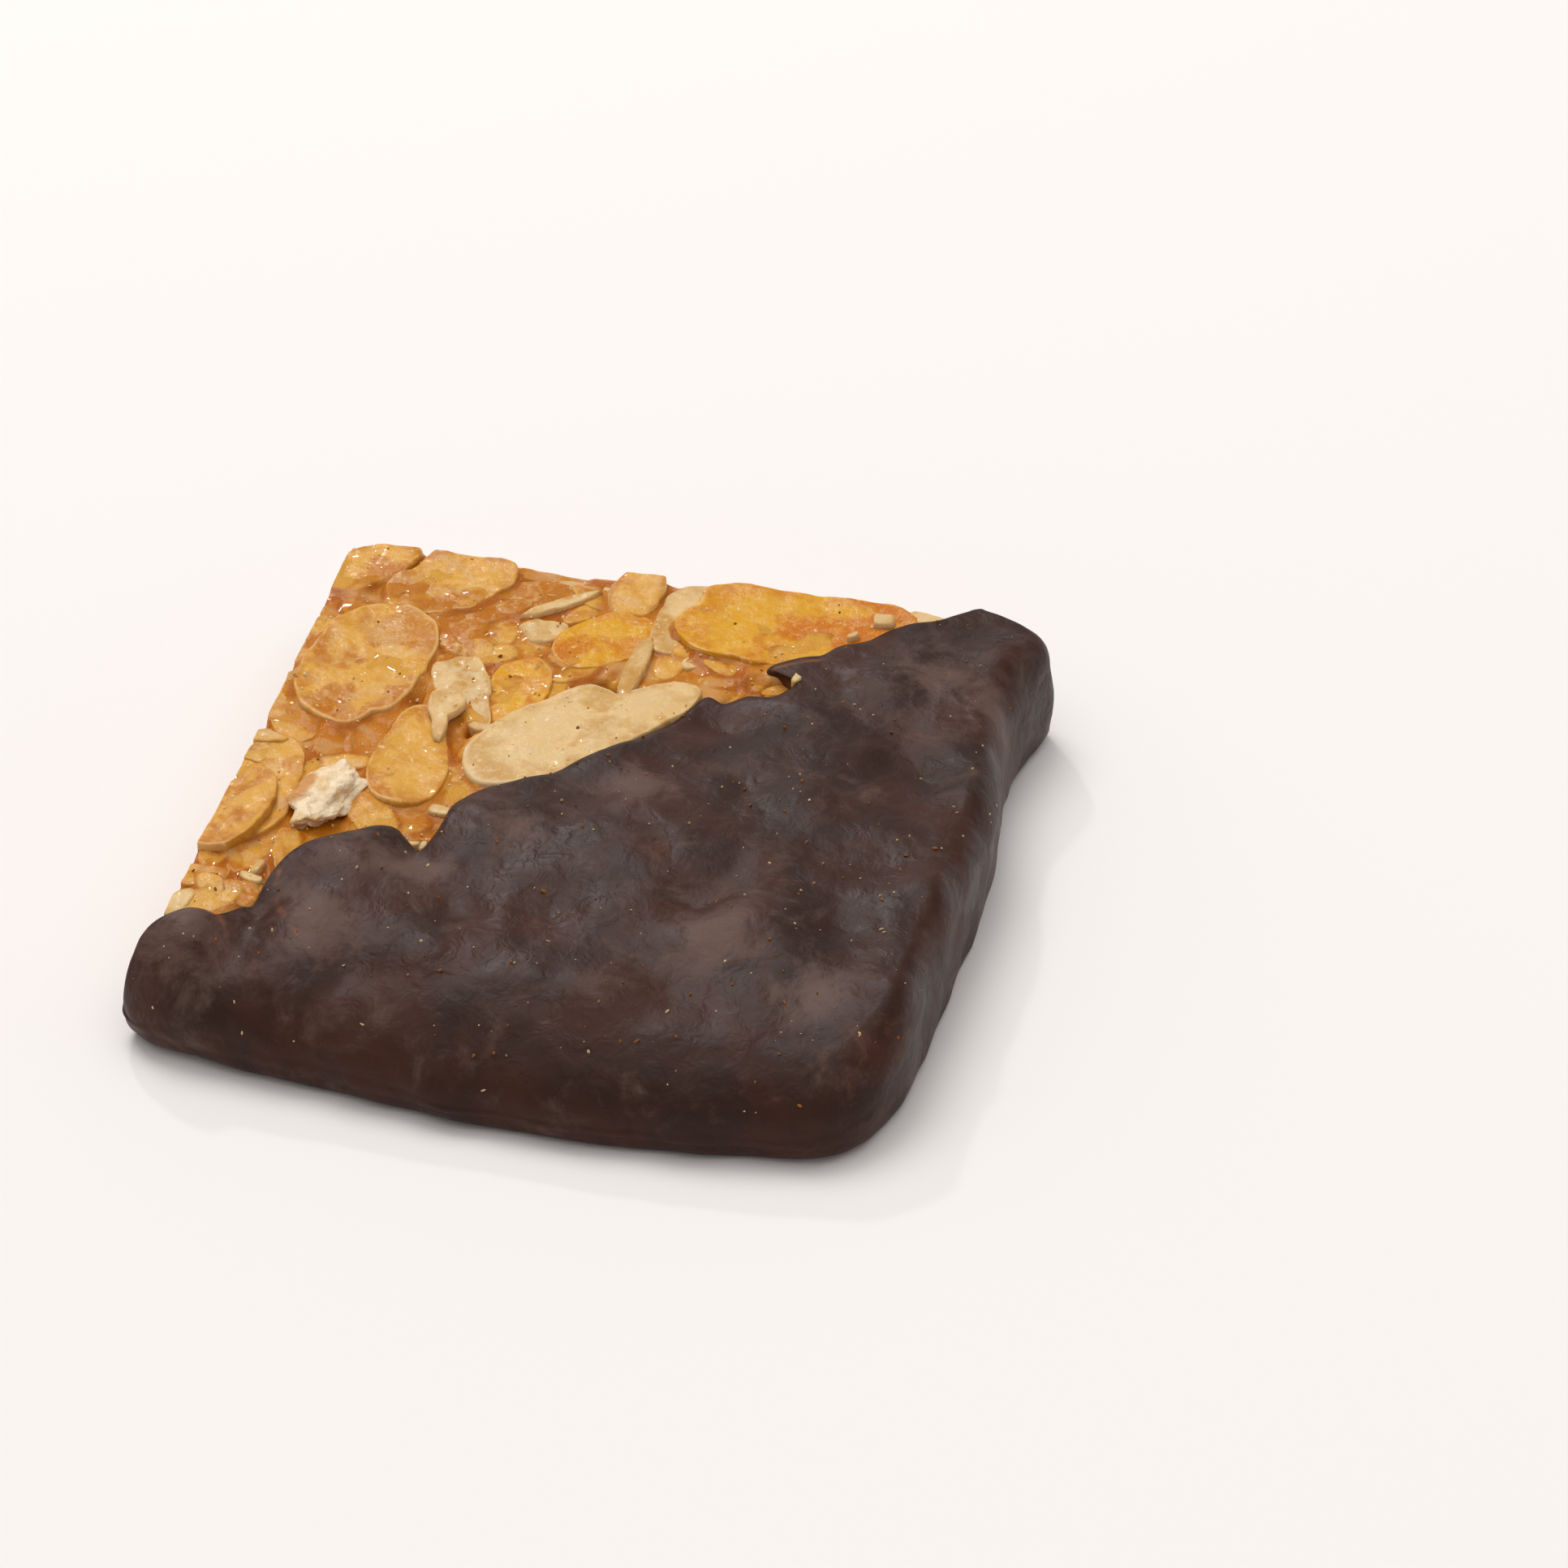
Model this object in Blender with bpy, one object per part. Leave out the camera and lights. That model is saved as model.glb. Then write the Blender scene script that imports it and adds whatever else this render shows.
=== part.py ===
"""Almond florentine: a knife-cut square of caramel and flaked almonds, half dipped in chocolate.

The model is a caramel slab, the chocolate coat that wraps its front right half, and the large
almond flakes that lie in the caramel. Metres, +Z up. The origin is on the coat's flat
underside, below the middle of the slab; +X runs right along the front edge, +Y to the back.
"""
import math

import bmesh
import bpy
from mathutils import Matrix, Vector, noise

MM = 0.001

# Driving dimensions, in millimetres
SLAB_SIDE = 49.6          # side of the knife-cut square
SLAB_BOTTOM = 0.9         # the coat passes below the slab
SLAB_TOP = 7.4            # highest caramel between the flakes
OPEN_CORNER = 0.6         # the slab's bare corner is nearly sharp
COATED_CORNER = 2.4       # its corners under the chocolate are broken off
HOLLOW_DEPTH = 0.75       # how far the caramel sinks between the flakes
HOLLOW_SIZE = 7.0         # typical distance from one hollow to the next
GAP = 0.3                 # clearance between pieces that touch
COAT_TOP = 8.75           # mean height of the chocolate
LIP_RISE = 0.75           # height gained over the rounded edge of the chocolate
LIP_WIDTH = 1.3
FLAKE_HEIGHT = SLAB_TOP + 0.25
FLAKE_THICKNESS = 1.25

# Where the chocolate ends, from the left side across the top to the back side
TIDE_LINE = [
    (-25.7, -24.0), (-24.9, -21.4), (-22.8, -19.9), (-20.6, -19.7), (-18.7, -17.6),
    (-18.5, -14.6), (-17.2, -11.4), (-14.8, -9.3), (-12.0, -8.8), (-10.2, -9.9),
    (-9.4, -7.4), (-8.2, -4.0), (-5.4, -0.9), (-1.6, 1.5), (1.9, 4.9), (4.5, 10.4),
    (7.2, 12.7), (10.3, 14.2), (10.0, 16.4), (12.6, 19.0), (16.2, 22.6), (20.6, 25.5),
]

# Outside of the coat at its widest, from the left side round the front and the right side to
# the back: x, y, width and fall of the rounded shoulder above, and rise of the rounded foot
OUTSIDE = [
    (-25.8, -24.3, 0.9, 2.4, 1.6), (-25.8, -25.4, 1.5, 3.4, 3.1),
    (-21.9, -26.5, 2.6, 3.3, 3.1), (-16.0, -27.5, 3.6, 3.4, 2.5),
    (-10.5, -28.0, 4.4, 3.7, 2.1), (-5.0, -28.7, 5.0, 3.9, 1.9),
    (1.0, -29.2, 5.4, 4.0, 1.7), (8.0, -29.2, 5.4, 4.0, 1.7),
    (15.5, -28.6, 4.8, 3.8, 1.8), (22.6, -27.2, 3.0, 3.2, 1.9),
    (25.8, -22.0, 1.3, 2.4, 1.6), (26.5, -13.0, 1.3, 2.1, 1.1),
    (27.0, -4.0, 1.5, 2.0, 0.9), (27.2, 4.5, 1.6, 2.2, 0.9),
    (26.6, 13.5, 1.5, 2.4, 0.9), (27.0, 20.0, 1.4, 1.7, 0.9),
    (26.6, 24.0, 1.6, 1.9, 1.0), (22.4, 25.9, 0.6, 1.0, 0.8),
]

# Relief of the chocolate over the nuts below it: x, y, height, radius
MOUNDS = [
    (-26.2, -22.4, -1.30, 3.0), (-21.6, -24.0, 0.40, 3.0), (-14.5, -12.8, 0.85, 3.8),
    (-5.8, -6.5, 0.60, 3.4), (-0.5, 3.6, 0.40, 3.0), (5.5, -7.0, 0.95, 5.6),
    (15.0, 0.5, 0.60, 4.6),
    (17.0, 15.5, 0.60, 4.8), (14.5, -14.0, 0.55, 4.4), (-14.5, -21.5, 0.50, 3.4),
    (-7.5, -21.0, 0.45, 3.2), (-1.5, -22.0, 0.50, 3.2), (5.5, -22.5, 0.45, 3.2),
    (24.8, 20.5, 0.50, 2.6), (25.4, -8.0, 0.40, 2.0), (24.8, -18.5, 0.40, 2.2),
    (-18.8, -18.6, -0.65, 1.6), (-10.4, -11.6, -0.80, 1.9), (6.5, 8.5, -0.75, 3.4),
    (9.5, -12.0, -0.50, 3.0), (-11.5, -24.0, -0.40, 2.4), (-6.0, -15.5, -0.60, 3.4),
    (22.0, 4.5, -0.50, 3.4), (21.5, -13.0, -0.45, 3.4), (0.5, -15.5, -0.30, 3.0),
]

# Almond flakes: centre x, y, half length, half width, heading in degrees, taper to the tip,
# height above the common flake height
FLAKES = {
    "flake_corner": (-22.5, 22.2, 3.1, 2.1, 65.0, 0.0, 0.25),
    "flake_back_left": (-15.6, 21.4, 4.8, 3.5, 10.0, 0.10, 0.35),
    "flake_round": (-19.6, 10.4, 6.9, 4.4, 84.0, -0.05, 0.20),
    "flake_tan_edge": (-24.0, 2.6, 2.6, 1.3, 100.0, 0.0, -0.15),
    "flake_left_edge": (-23.5, -8.8, 4.6, 2.2, 82.0, 0.0, 0.25),
    "flake_teardrop": (-13.5, 0.4, 5.8, 2.6, 97.0, -0.20, 0.10),
    "flake_under_crumb": (-19.8, -12.2, 2.1, 0.8, 105.0, 0.0, -0.10),
    "flake_pale_small": (-11.9, 9.6, 4.4, 1.5, 118.0, 0.20, 0.0),
    "flake_golden_middle": (-7.4, 10.4, 3.1, 1.4, 95.0, 0.1, 0.15),
    "flake_long_pale": (-2.6, 6.1, 9.2, 3.4, 43.0, 0.0, 0.45),
    "flake_oval": (-3.8, 16.9, 3.9, 2.5, 48.0, 0.0, 0.15),
    "flake_pale_back": (-9.0, 17.6, 1.9, 1.4, 20.0, 0.0, 0.05),
    "flake_back_small": (-2.9, 22.9, 2.6, 1.7, 88.0, 0.0, 0.10),
    "flake_big_golden": (9.0, 21.0, 8.2, 4.6, 2.0, 0.0, 0.40),
}
FLAKE_SEGMENTS = 18
FLAKE_RINGS = 6
# Centre x, y, half length, half width, heading, half height
CRUMB = (-18.3, -6.0, 3.6, 1.8, 76.0, 1.35)

CARAMEL = (0.50, 0.23, 0.06)
CHOCOLATE = (0.045, 0.018, 0.011)
ALMOND = (0.66, 0.42, 0.19)
ALMOND_PALE = (0.74, 0.55, 0.31)
ALMOND_GOLDEN = (0.70, 0.38, 0.09)
CRUMB_WHITE = (0.78, 0.60, 0.40)


def clear_scene():
    for existing in list(bpy.data.objects):
        bpy.data.objects.remove(existing, do_unlink=True)


def new_collection(name):
    collection = bpy.data.collections.new(name)
    bpy.context.scene.collection.children.link(collection)
    return collection


def food_material(name, colour, roughness):
    material = bpy.data.materials.new(name)
    material.use_nodes = True
    shader = material.node_tree.nodes["Principled BSDF"]
    shader.inputs["Base Color"].default_value = (*colour, 1.0)
    shader.inputs["Roughness"].default_value = roughness
    return material


def object_from(mesh_data, name, collection, material=None):
    mesh = bpy.data.meshes.new(name)
    bmesh.ops.recalc_face_normals(mesh_data, faces=mesh_data.faces)
    mesh_data.to_mesh(mesh)
    mesh_data.free()
    mesh.shade_smooth()
    mesh.set_sharp_from_angle(angle=math.radians(40.0))
    if material:
        mesh.materials.append(material)
    made = bpy.data.objects.new(name, mesh)
    collection.objects.link(made)
    return made


def sliced_cube(slices_by_axis):
    """A unit cube from 0 to 1, sliced across each axis at the given places."""
    solid = bmesh.new()
    bmesh.ops.create_cube(solid, size=1.0, matrix=Matrix.Translation((0.5, 0.5, 0.5)))
    for axis, slices in enumerate(slices_by_axis):
        normal = Vector((0.0, 0.0, 0.0))
        normal[axis] = 1.0
        for place in slices:
            geometry = solid.verts[:] + solid.edges[:] + solid.faces[:]
            bmesh.ops.bisect_plane(solid, geom=geometry, plane_co=normal * place, plane_no=normal)
    return solid


def even_slices(count):
    return [step / count for step in range(1, count)]


def spline(stations, t):
    """The Catmull-Rom curve through the stations, at t from 0 to 1."""
    spans = len(stations) - 1
    span = min(int(t * spans), spans - 1)
    s = t * spans - span
    before, first, second, after = (
        stations[max(0, min(spans, span + shift))] for shift in (-1, 0, 1, 2))
    return [
        0.5 * (2.0 * b + (c - a) * s + (2.0 * a - 5.0 * b + 4.0 * c - d) * s ** 2
               + (3.0 * b - a - 3.0 * c + d) * s ** 3)
        for a, b, c, d in zip(before, first, second, after)
    ]


def quarter_round(distance, width):
    """0 at the edge, rising along a quarter circle to 1 at the given width."""
    if distance >= width:
        return 1.0
    return math.sqrt(1.0 - (1.0 - distance / width) ** 2)


def bump_sum(bumps, x, y):
    return sum(
        height * math.exp(-((x - bx) ** 2 + (y - by) ** 2) / (radius * radius))
        for bx, by, height, radius in bumps)


def coat_point(along, across, up):
    """A place on the coat's outer form, in millimetres.

    along runs with the tide line, across from the tide line to the outside, up from the
    underside to the top.
    """
    edge_x, edge_y = spline(TIDE_LINE, along)
    side_x, side_y, shoulder, fall, foot = spline(OUTSIDE, along)
    x = edge_x + (side_x - edge_x) * across
    y = edge_y + (side_y - edge_y) * across
    reach = math.hypot(side_x - edge_x, side_y - edge_y)
    to_side = (1.0 - across) * reach
    to_edge = across * reach
    full = COAT_TOP + bump_sum(MOUNDS, x, y)
    top = full - fall * (1.0 - quarter_round(to_side, shoulder))
    top -= LIP_RISE * (1.0 - quarter_round(to_edge, LIP_WIDTH))
    bottom = foot * (1.0 - quarter_round(to_side, foot))
    return x, y, bottom + (top - bottom) * up


def build_coat_form(name, collection, material):
    across_slices = (0.02, 0.045, 0.08, 0.13, 0.19, 0.26, 0.34, 0.42, 0.50, 0.58, 0.66,
                     0.74, 0.81, 0.87, 0.915, 0.95, 0.98)
    solid = sliced_cube((even_slices(46), across_slices, (0.3, 0.65)))
    for vert in solid.verts:
        vert.co = Vector(coat_point(*vert.co)) * MM
    return object_from(solid, name, collection, material)


def build_slab(name, grow, collection, material=None):
    """The knife-cut caramel square; as a cutter it is a plain block grown by the gap."""
    slices = () if grow else even_slices(26)
    solid = sliced_cube((slices, slices, ()))
    bottom, top = SLAB_BOTTOM - grow, SLAB_TOP + grow
    reach = (0.5 * SLAB_SIDE + grow) * 0.9999 * MM
    for vert in solid.verts:
        x = (vert.co.x - 0.5) * (SLAB_SIDE + 2.0 * grow)
        y = (vert.co.y - 0.5) * (SLAB_SIDE + 2.0 * grow)
        z = top if vert.co.z > 0.5 else bottom
        if vert.co.z > 0.5 and not grow:
            ripple = noise.noise(Vector((x, y, 0.0)) / HOLLOW_SIZE)
            z -= HOLLOW_DEPTH * min(1.0, abs(ripple) * 2.0)
        vert.co = Vector((x, y, z)) * MM
    for side_x, side_y in ((-1, -1), (1, -1), (1, 1), (-1, 1)):
        corner = [
            edge for edge in solid.edges
            if all(v.co.x * side_x > reach and v.co.y * side_y > reach for v in edge.verts)
            and abs(edge.verts[0].co.z - edge.verts[1].co.z) > 2.0 * MM
        ]
        offset = OPEN_CORNER if (side_x, side_y) == (-1, 1) else COATED_CORNER
        bmesh.ops.bevel(solid, geom=corner, offset=offset * MM, segments=2,
                        profile=0.5, affect="EDGES")
    return object_from(solid, name, collection, material)


def build_flake(name, grow, collection, material=None):
    """An almond slice: flat faces, an edge rounded over, a little bowed along its length."""
    x, y, half_length, half_width, heading, taper, lift = FLAKES[name.removesuffix("_pocket")]
    half_thickness = 0.5 * FLAKE_THICKNESS + grow
    half_length += grow
    half_width += grow
    solid = bmesh.new()
    bmesh.ops.create_uvsphere(
        solid, u_segments=FLAKE_SEGMENTS, v_segments=FLAKE_RINGS, radius=1.0)
    for vert in solid.verts:
        radius = min(1.0, math.hypot(vert.co.x, vert.co.y))
        rounded = (1.0 - radius ** 4) ** 0.25
        bow = 0.25 * (vert.co.x ** 2 - 0.3)
        vert.co = Vector((
            half_length * vert.co.x,
            half_width * vert.co.y * (1.0 + taper * vert.co.x),
            math.copysign(half_thickness * rounded, vert.co.z) - bow,
        ))
    place = Matrix.Translation((x, y, FLAKE_HEIGHT + lift))
    place = Matrix.Scale(MM, 4) @ place @ Matrix.Rotation(math.radians(heading), 4, "Z")
    bmesh.ops.transform(solid, matrix=place, verts=solid.verts)
    return object_from(solid, name, collection, material)


def build_crumb(name, grow, collection, material=None):
    """A broken lump of blanched nut: a flattened ball with an uneven skin."""
    x, y, half_length, half_width, heading, half_height = CRUMB
    sizes = Vector((half_length, half_width, half_height)) + Vector((grow, grow, grow))
    solid = bmesh.new()
    bmesh.ops.create_icosphere(solid, subdivisions=3, radius=1.0)
    for vert in solid.verts:
        lump = 1.0 + 0.16 * noise.noise(vert.co * 1.9)
        vert.co = Vector(c * s for c, s in zip(vert.co, sizes)) * lump
    place = Matrix.Translation((x, y, FLAKE_HEIGHT + 0.35))
    place = Matrix.Scale(MM, 4) @ place @ Matrix.Rotation(math.radians(heading), 4, "Z")
    bmesh.ops.transform(solid, matrix=place, verts=solid.verts)
    return object_from(solid, name, collection, material)


def knife_block(name, collection):
    """The space inside the four knife cuts; what a flake has outside it is cut away."""
    solid = bmesh.new()
    side = SLAB_SIDE * MM
    bmesh.ops.create_cube(solid, size=1.0, matrix=Matrix.Diagonal((side, side, 0.03, 1.0)))
    return object_from(solid, name, collection)


def boolean(target, operation, cutter):
    modifier = target.modifiers.new(f"{operation.lower()}_{cutter.name}", "BOOLEAN")
    modifier.operation = operation
    modifier.object = cutter
    modifier.solver = "EXACT"


def join_flat_faces(target):
    """Faces that lie in one plane become one, so that flat walls stay light."""
    modifier = target.modifiers.new("join_flat_faces", "DECIMATE")
    modifier.decimate_type = "DISSOLVE"
    modifier.angle_limit = math.radians(0.05)


def as_cutter(cutter):
    cutter.hide_render = True
    cutter.display_type = "WIRE"
    return cutter


def flake_material(name, almond, pale, golden):
    if name in ("flake_long_pale", "flake_pale_small", "flake_pale_back"):
        return food_material(name, pale, 0.5)
    if name in ("flake_big_golden", "flake_golden_middle", "flake_back_small"):
        return food_material(name, golden, 0.35)
    return food_material(name, almond, 0.4)


def build_florentine():
    clear_scene()
    pieces = new_collection("florentine_cookie")
    cutters = new_collection("cutters")

    slab = build_slab("caramel_slab", 0.0, pieces,
                      food_material("caramel_slab", CARAMEL, 0.3))
    coat = build_coat_form("chocolate_coat", pieces,
                           food_material("chocolate_coat", CHOCOLATE, 0.4))
    boolean(coat, "DIFFERENCE", as_cutter(build_slab("slab_space", GAP, cutters)))

    knife = as_cutter(knife_block("knife_cuts", cutters))
    for name in FLAKES:
        finish = flake_material(name, ALMOND, ALMOND_PALE, ALMOND_GOLDEN)
        flake = build_flake(name, 0.0, pieces, finish)
        boolean(flake, "INTERSECT", knife)
        pocket = as_cutter(build_flake(name + "_pocket", GAP, cutters))
        boolean(slab, "DIFFERENCE", pocket)
        if name in ("flake_long_pale", "flake_big_golden"):
            boolean(coat, "DIFFERENCE", pocket)

    build_crumb("nut_crumb", 0.0, pieces, food_material("nut_crumb", CRUMB_WHITE, 0.6))
    boolean(slab, "DIFFERENCE", as_cutter(build_crumb("nut_crumb_pocket", GAP, cutters)))
    for heavy in (slab, coat):
        join_flat_faces(heavy)


build_florentine()
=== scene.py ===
"""Almond florentine, half dipped in dark chocolate: its looks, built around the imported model."""
import math
import random
from types import SimpleNamespace

import bmesh
import bpy
import numpy as np
from mathutils import Matrix, Vector, noise


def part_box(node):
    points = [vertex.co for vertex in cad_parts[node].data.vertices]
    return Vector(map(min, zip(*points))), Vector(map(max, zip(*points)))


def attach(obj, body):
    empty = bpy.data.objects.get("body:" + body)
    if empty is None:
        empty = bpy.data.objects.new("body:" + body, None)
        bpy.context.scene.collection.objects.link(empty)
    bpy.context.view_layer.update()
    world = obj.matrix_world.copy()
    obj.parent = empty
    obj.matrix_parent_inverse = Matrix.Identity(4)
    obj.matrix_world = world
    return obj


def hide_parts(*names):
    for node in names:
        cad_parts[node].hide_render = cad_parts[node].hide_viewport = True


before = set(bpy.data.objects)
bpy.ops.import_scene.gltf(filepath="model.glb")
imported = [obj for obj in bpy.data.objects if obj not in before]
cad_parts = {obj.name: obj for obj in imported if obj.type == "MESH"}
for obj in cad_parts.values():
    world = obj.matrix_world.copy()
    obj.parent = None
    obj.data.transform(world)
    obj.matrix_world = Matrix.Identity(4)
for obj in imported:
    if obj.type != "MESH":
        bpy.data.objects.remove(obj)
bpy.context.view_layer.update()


# --- The studio -----------------------------------------------------------------------------
# A seamless pale paper floor in a room with a bright ceiling and dimmer walls, one broad lamp
# high behind the cookie's left shoulder, and a small one that leaves glints on the sugar.

MM = 0.001
CAMERA_AZIMUTH = 12.7
CAMERA_ELEVATION = 36.0
CAMERA_DISTANCE = 0.420
CAMERA_AIM = Vector((10.1, 13.5, 0.0)) * MM
PAPER_SIZE = 3.0
PAPER_COLOUR = (0.862, 0.828, 0.811)
ROOM_TINT = (1.0, 0.985, 0.97)
ROOM_BANDS = ((0.0, 0.88), (0.10, 0.88), (0.24, 0.39), (0.70, 0.39), (0.88, 1.38))


def new_object(name, mesh):
    made = bpy.data.objects.new(name, mesh)
    bpy.context.scene.collection.objects.link(made)
    return made


def new_material(name):
    """A new material, its node tree and its Principled shader."""
    material = bpy.data.materials.new(name)
    material.use_nodes = True
    return material, material.node_tree, material.node_tree.nodes["Principled BSDF"]


def aim(thing, place, target):
    thing.location = place
    thing.rotation_euler = (target - place).to_track_quat("-Z", "Y").to_euler()


paper_mesh = bpy.data.meshes.new("paper_floor")
paper_build = bmesh.new()
bmesh.ops.create_grid(paper_build, x_segments=1, y_segments=1, size=PAPER_SIZE / 2)
paper_build.to_mesh(paper_mesh)
paper_build.free()
paper_finish, _, paper_shader = new_material("pale_paper")
paper_shader.inputs["Base Color"].default_value = (*PAPER_COLOUR, 1.0)
paper_shader.inputs["Roughness"].default_value = 0.9
paper_shader.inputs["Specular IOR Level"].default_value = 0.0
paper_mesh.materials.append(paper_finish)
paper = new_object("paper_floor", paper_mesh)

walls = bpy.data.worlds.new("studio_room")
walls.use_nodes = True
room_tree = walls.node_tree
room_way = room_tree.nodes.new("ShaderNodeTexCoord")
room_split = room_tree.nodes.new("ShaderNodeSeparateXYZ")
room_bands = room_tree.nodes.new("ShaderNodeValToRGB")
while len(room_bands.color_ramp.elements) < len(ROOM_BANDS):
    room_bands.color_ramp.elements.new(0.5)
for stop, (upward, level) in zip(room_bands.color_ramp.elements, ROOM_BANDS):
    stop.position = upward
    stop.color = (*(channel * level for channel in ROOM_TINT), 1.0)
room_tree.links.new(room_way.outputs["Generated"], room_split.inputs["Vector"])
room_tree.links.new(room_split.outputs["Z"], room_bands.inputs["Fac"])
room_tree.links.new(room_bands.outputs["Color"], room_tree.nodes["Background"].inputs["Color"])
bpy.context.scene.world = walls
bpy.context.scene.view_settings.view_transform = "Standard"

broad_data = bpy.data.lights.new("broad_lamp", "SUN")
broad_data.energy = 0.97
broad_data.angle = math.radians(32.0)
aim(new_object("broad_lamp", broad_data), Vector((-0.30, 0.36, 0.88)), Vector((0.0, 0.0, 0.0)))
glint_data = bpy.data.lights.new("glint_lamp", "AREA")
glint_data.shape = "DISK"
glint_data.size = 0.03
glint_data.energy = 0.45
aim(new_object("glint_lamp", glint_data), Vector((-0.22, 0.40, 0.38)), Vector((0.0, 0.0, 0.0)))

azimuth, elevation = math.radians(CAMERA_AZIMUTH), math.radians(CAMERA_ELEVATION)
toward_camera = Vector((
    math.sin(azimuth) * math.cos(elevation),
    -math.cos(azimuth) * math.cos(elevation),
    math.sin(elevation),
))
lens = bpy.data.cameras.new("camera")
lens.lens = 135.0
lens.sensor_width = 36.0
lens.clip_start = 0.01
camera = new_object("camera", lens)
aim(camera, CAMERA_AIM + toward_camera * CAMERA_DISTANCE, CAMERA_AIM)
bpy.context.scene.camera = camera


# --- Large almond flakes --------------------------------------------------------------------
# Blanched almonds shaved into slices about 1 mm thick. They are baked into the caramel, so
# they lie nearly flat, a little bowed, some over others, and the knife trims those that reach
# past a side. Each is its own slice, with a soft rounded rim.

slab_low, slab_high = (Vector(corner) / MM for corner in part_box("caramel_slab"))
KNIFE_REACH = (slab_high.x - slab_low.x) / 2
FLAKE_THICKNESS = 1.15
RIM_RADIUS = 0.17
RING_PLACES = (0.0, 0.12, 0.25, 0.38, 0.5, 0.61, 0.71, 0.79, 0.86, 0.91, 0.95, 0.975, 0.99, 1.0)
OUTLINE_POINTS = 88
COARSE_POINTS = 40           # for slices shorter than COARSE_LENGTH
COARSE_LENGTH = 4.3


def flake(x, y, long, wide, heading, top, **more):
    """One almond slice in millimetres: half sizes, heading in degrees and height of its face."""
    facts = dict(
        x=x, y=y, long=long, wide=wide, heading=math.radians(heading), top=top, taper=0.0,
        square=2.2, pitch=0.0, roll=0.0, bow=0.0, wobble=0.04, bites=(), breaks=(), outline=(),
        wet=0.22, tone=0.5, lean=0.0, milk=0.3, thick=FLAKE_THICKNESS,
        seed=int(abs(x * 91.0 + y * 57.0)) + 1)
    facts.update(more)
    return SimpleNamespace(**facts)


def outline_radius(slice_, theta):
    """Distance from the centre to an outline of plan points, for a slice with heading 0."""
    start = np.array(slice_.outline) - (slice_.x, slice_.y)
    side = np.roll(start, -1, axis=0) - start
    way_x, way_y = np.cos(theta)[..., None], np.sin(theta)[..., None]
    turn = way_x * side[:, 1] - way_y * side[:, 0]
    turn = np.where(np.abs(turn) < 1e-9, 1e-9, turn)
    radius = (start[:, 0] * side[:, 1] - start[:, 1] * side[:, 0]) / turn
    share = (start[:, 0] * way_y - start[:, 1] * way_x) / turn
    return np.where((share >= 0.0) & (share <= 1.0), radius, 0.05).max(axis=-1)


def rim_radius(slice_, theta):
    """Distance from the slice's centre to its rim, towards each angle."""
    if slice_.outline:
        spread = np.radians((-6.0, -2.0, 2.0, 6.0))
        radius = sum(outline_radius(slice_, theta + turn) for turn in spread) / 4.0
    else:
        wide = slice_.wide * (1.0 + slice_.taper * np.cos(theta))
        power = slice_.square
        radius = (np.abs(np.cos(theta) / slice_.long) ** power
                  + np.abs(np.sin(theta) / wide) ** power) ** (-1.0 / power)
    for angle, offset in slice_.breaks:
        facing = np.cos(theta - math.radians(angle))
        radius = np.minimum(radius, offset / np.maximum(facing, 1e-3))
    draw = random.Random(slice_.seed)
    for waves in (2, 3, 5, 8, 13):
        radius = radius * (1.0 + slice_.wobble / waves ** 0.5
                           * np.sin(waves * theta + draw.uniform(0.0, 2.0 * math.pi)))
    for angle, depth, spread in slice_.bites:
        turn = (theta - math.radians(angle) + math.pi) % (2.0 * math.pi) - math.pi
        radius = radius - depth * np.exp(-(turn / math.radians(spread)) ** 2)
    return radius


def to_slice(slice_, x, y):
    """Plan coordinates as seen from the slice: along and across it."""
    dx, dy = x - slice_.x, y - slice_.y
    c, s = math.cos(slice_.heading), math.sin(slice_.heading)
    return dx * c + dy * s, dy * c - dx * s


def from_slice(slice_, along, across):
    c, s = math.cos(slice_.heading), math.sin(slice_.heading)
    return slice_.x + along * c - across * s, slice_.y + along * s + across * c


def face_height(slice_, x, y):
    along, across = to_slice(slice_, x, y)
    return (slice_.top + slice_.pitch * along + slice_.roll * across
            + slice_.bow * ((along / slice_.long) ** 2 + (across / slice_.wide) ** 2 - 0.5))


def waves_over(x, y, size, seed=0.0):
    """Smooth noise, about -1 to 1, over plan coordinates."""
    flat_x, flat_y = np.ravel(x), np.ravel(y)
    values = [noise.noise((a / size, b / size, seed)) for a, b in zip(flat_x, flat_y)]
    return np.array(values).reshape(np.shape(x)) * 1.6


def new_build(*labels):
    """An empty bmesh, and its layers for the values kept on each point."""
    build = bmesh.new()
    for label in labels:
        build.verts.layers.float.new(label)
    return build, [build.verts.layers.float[label] for label in labels]


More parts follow.
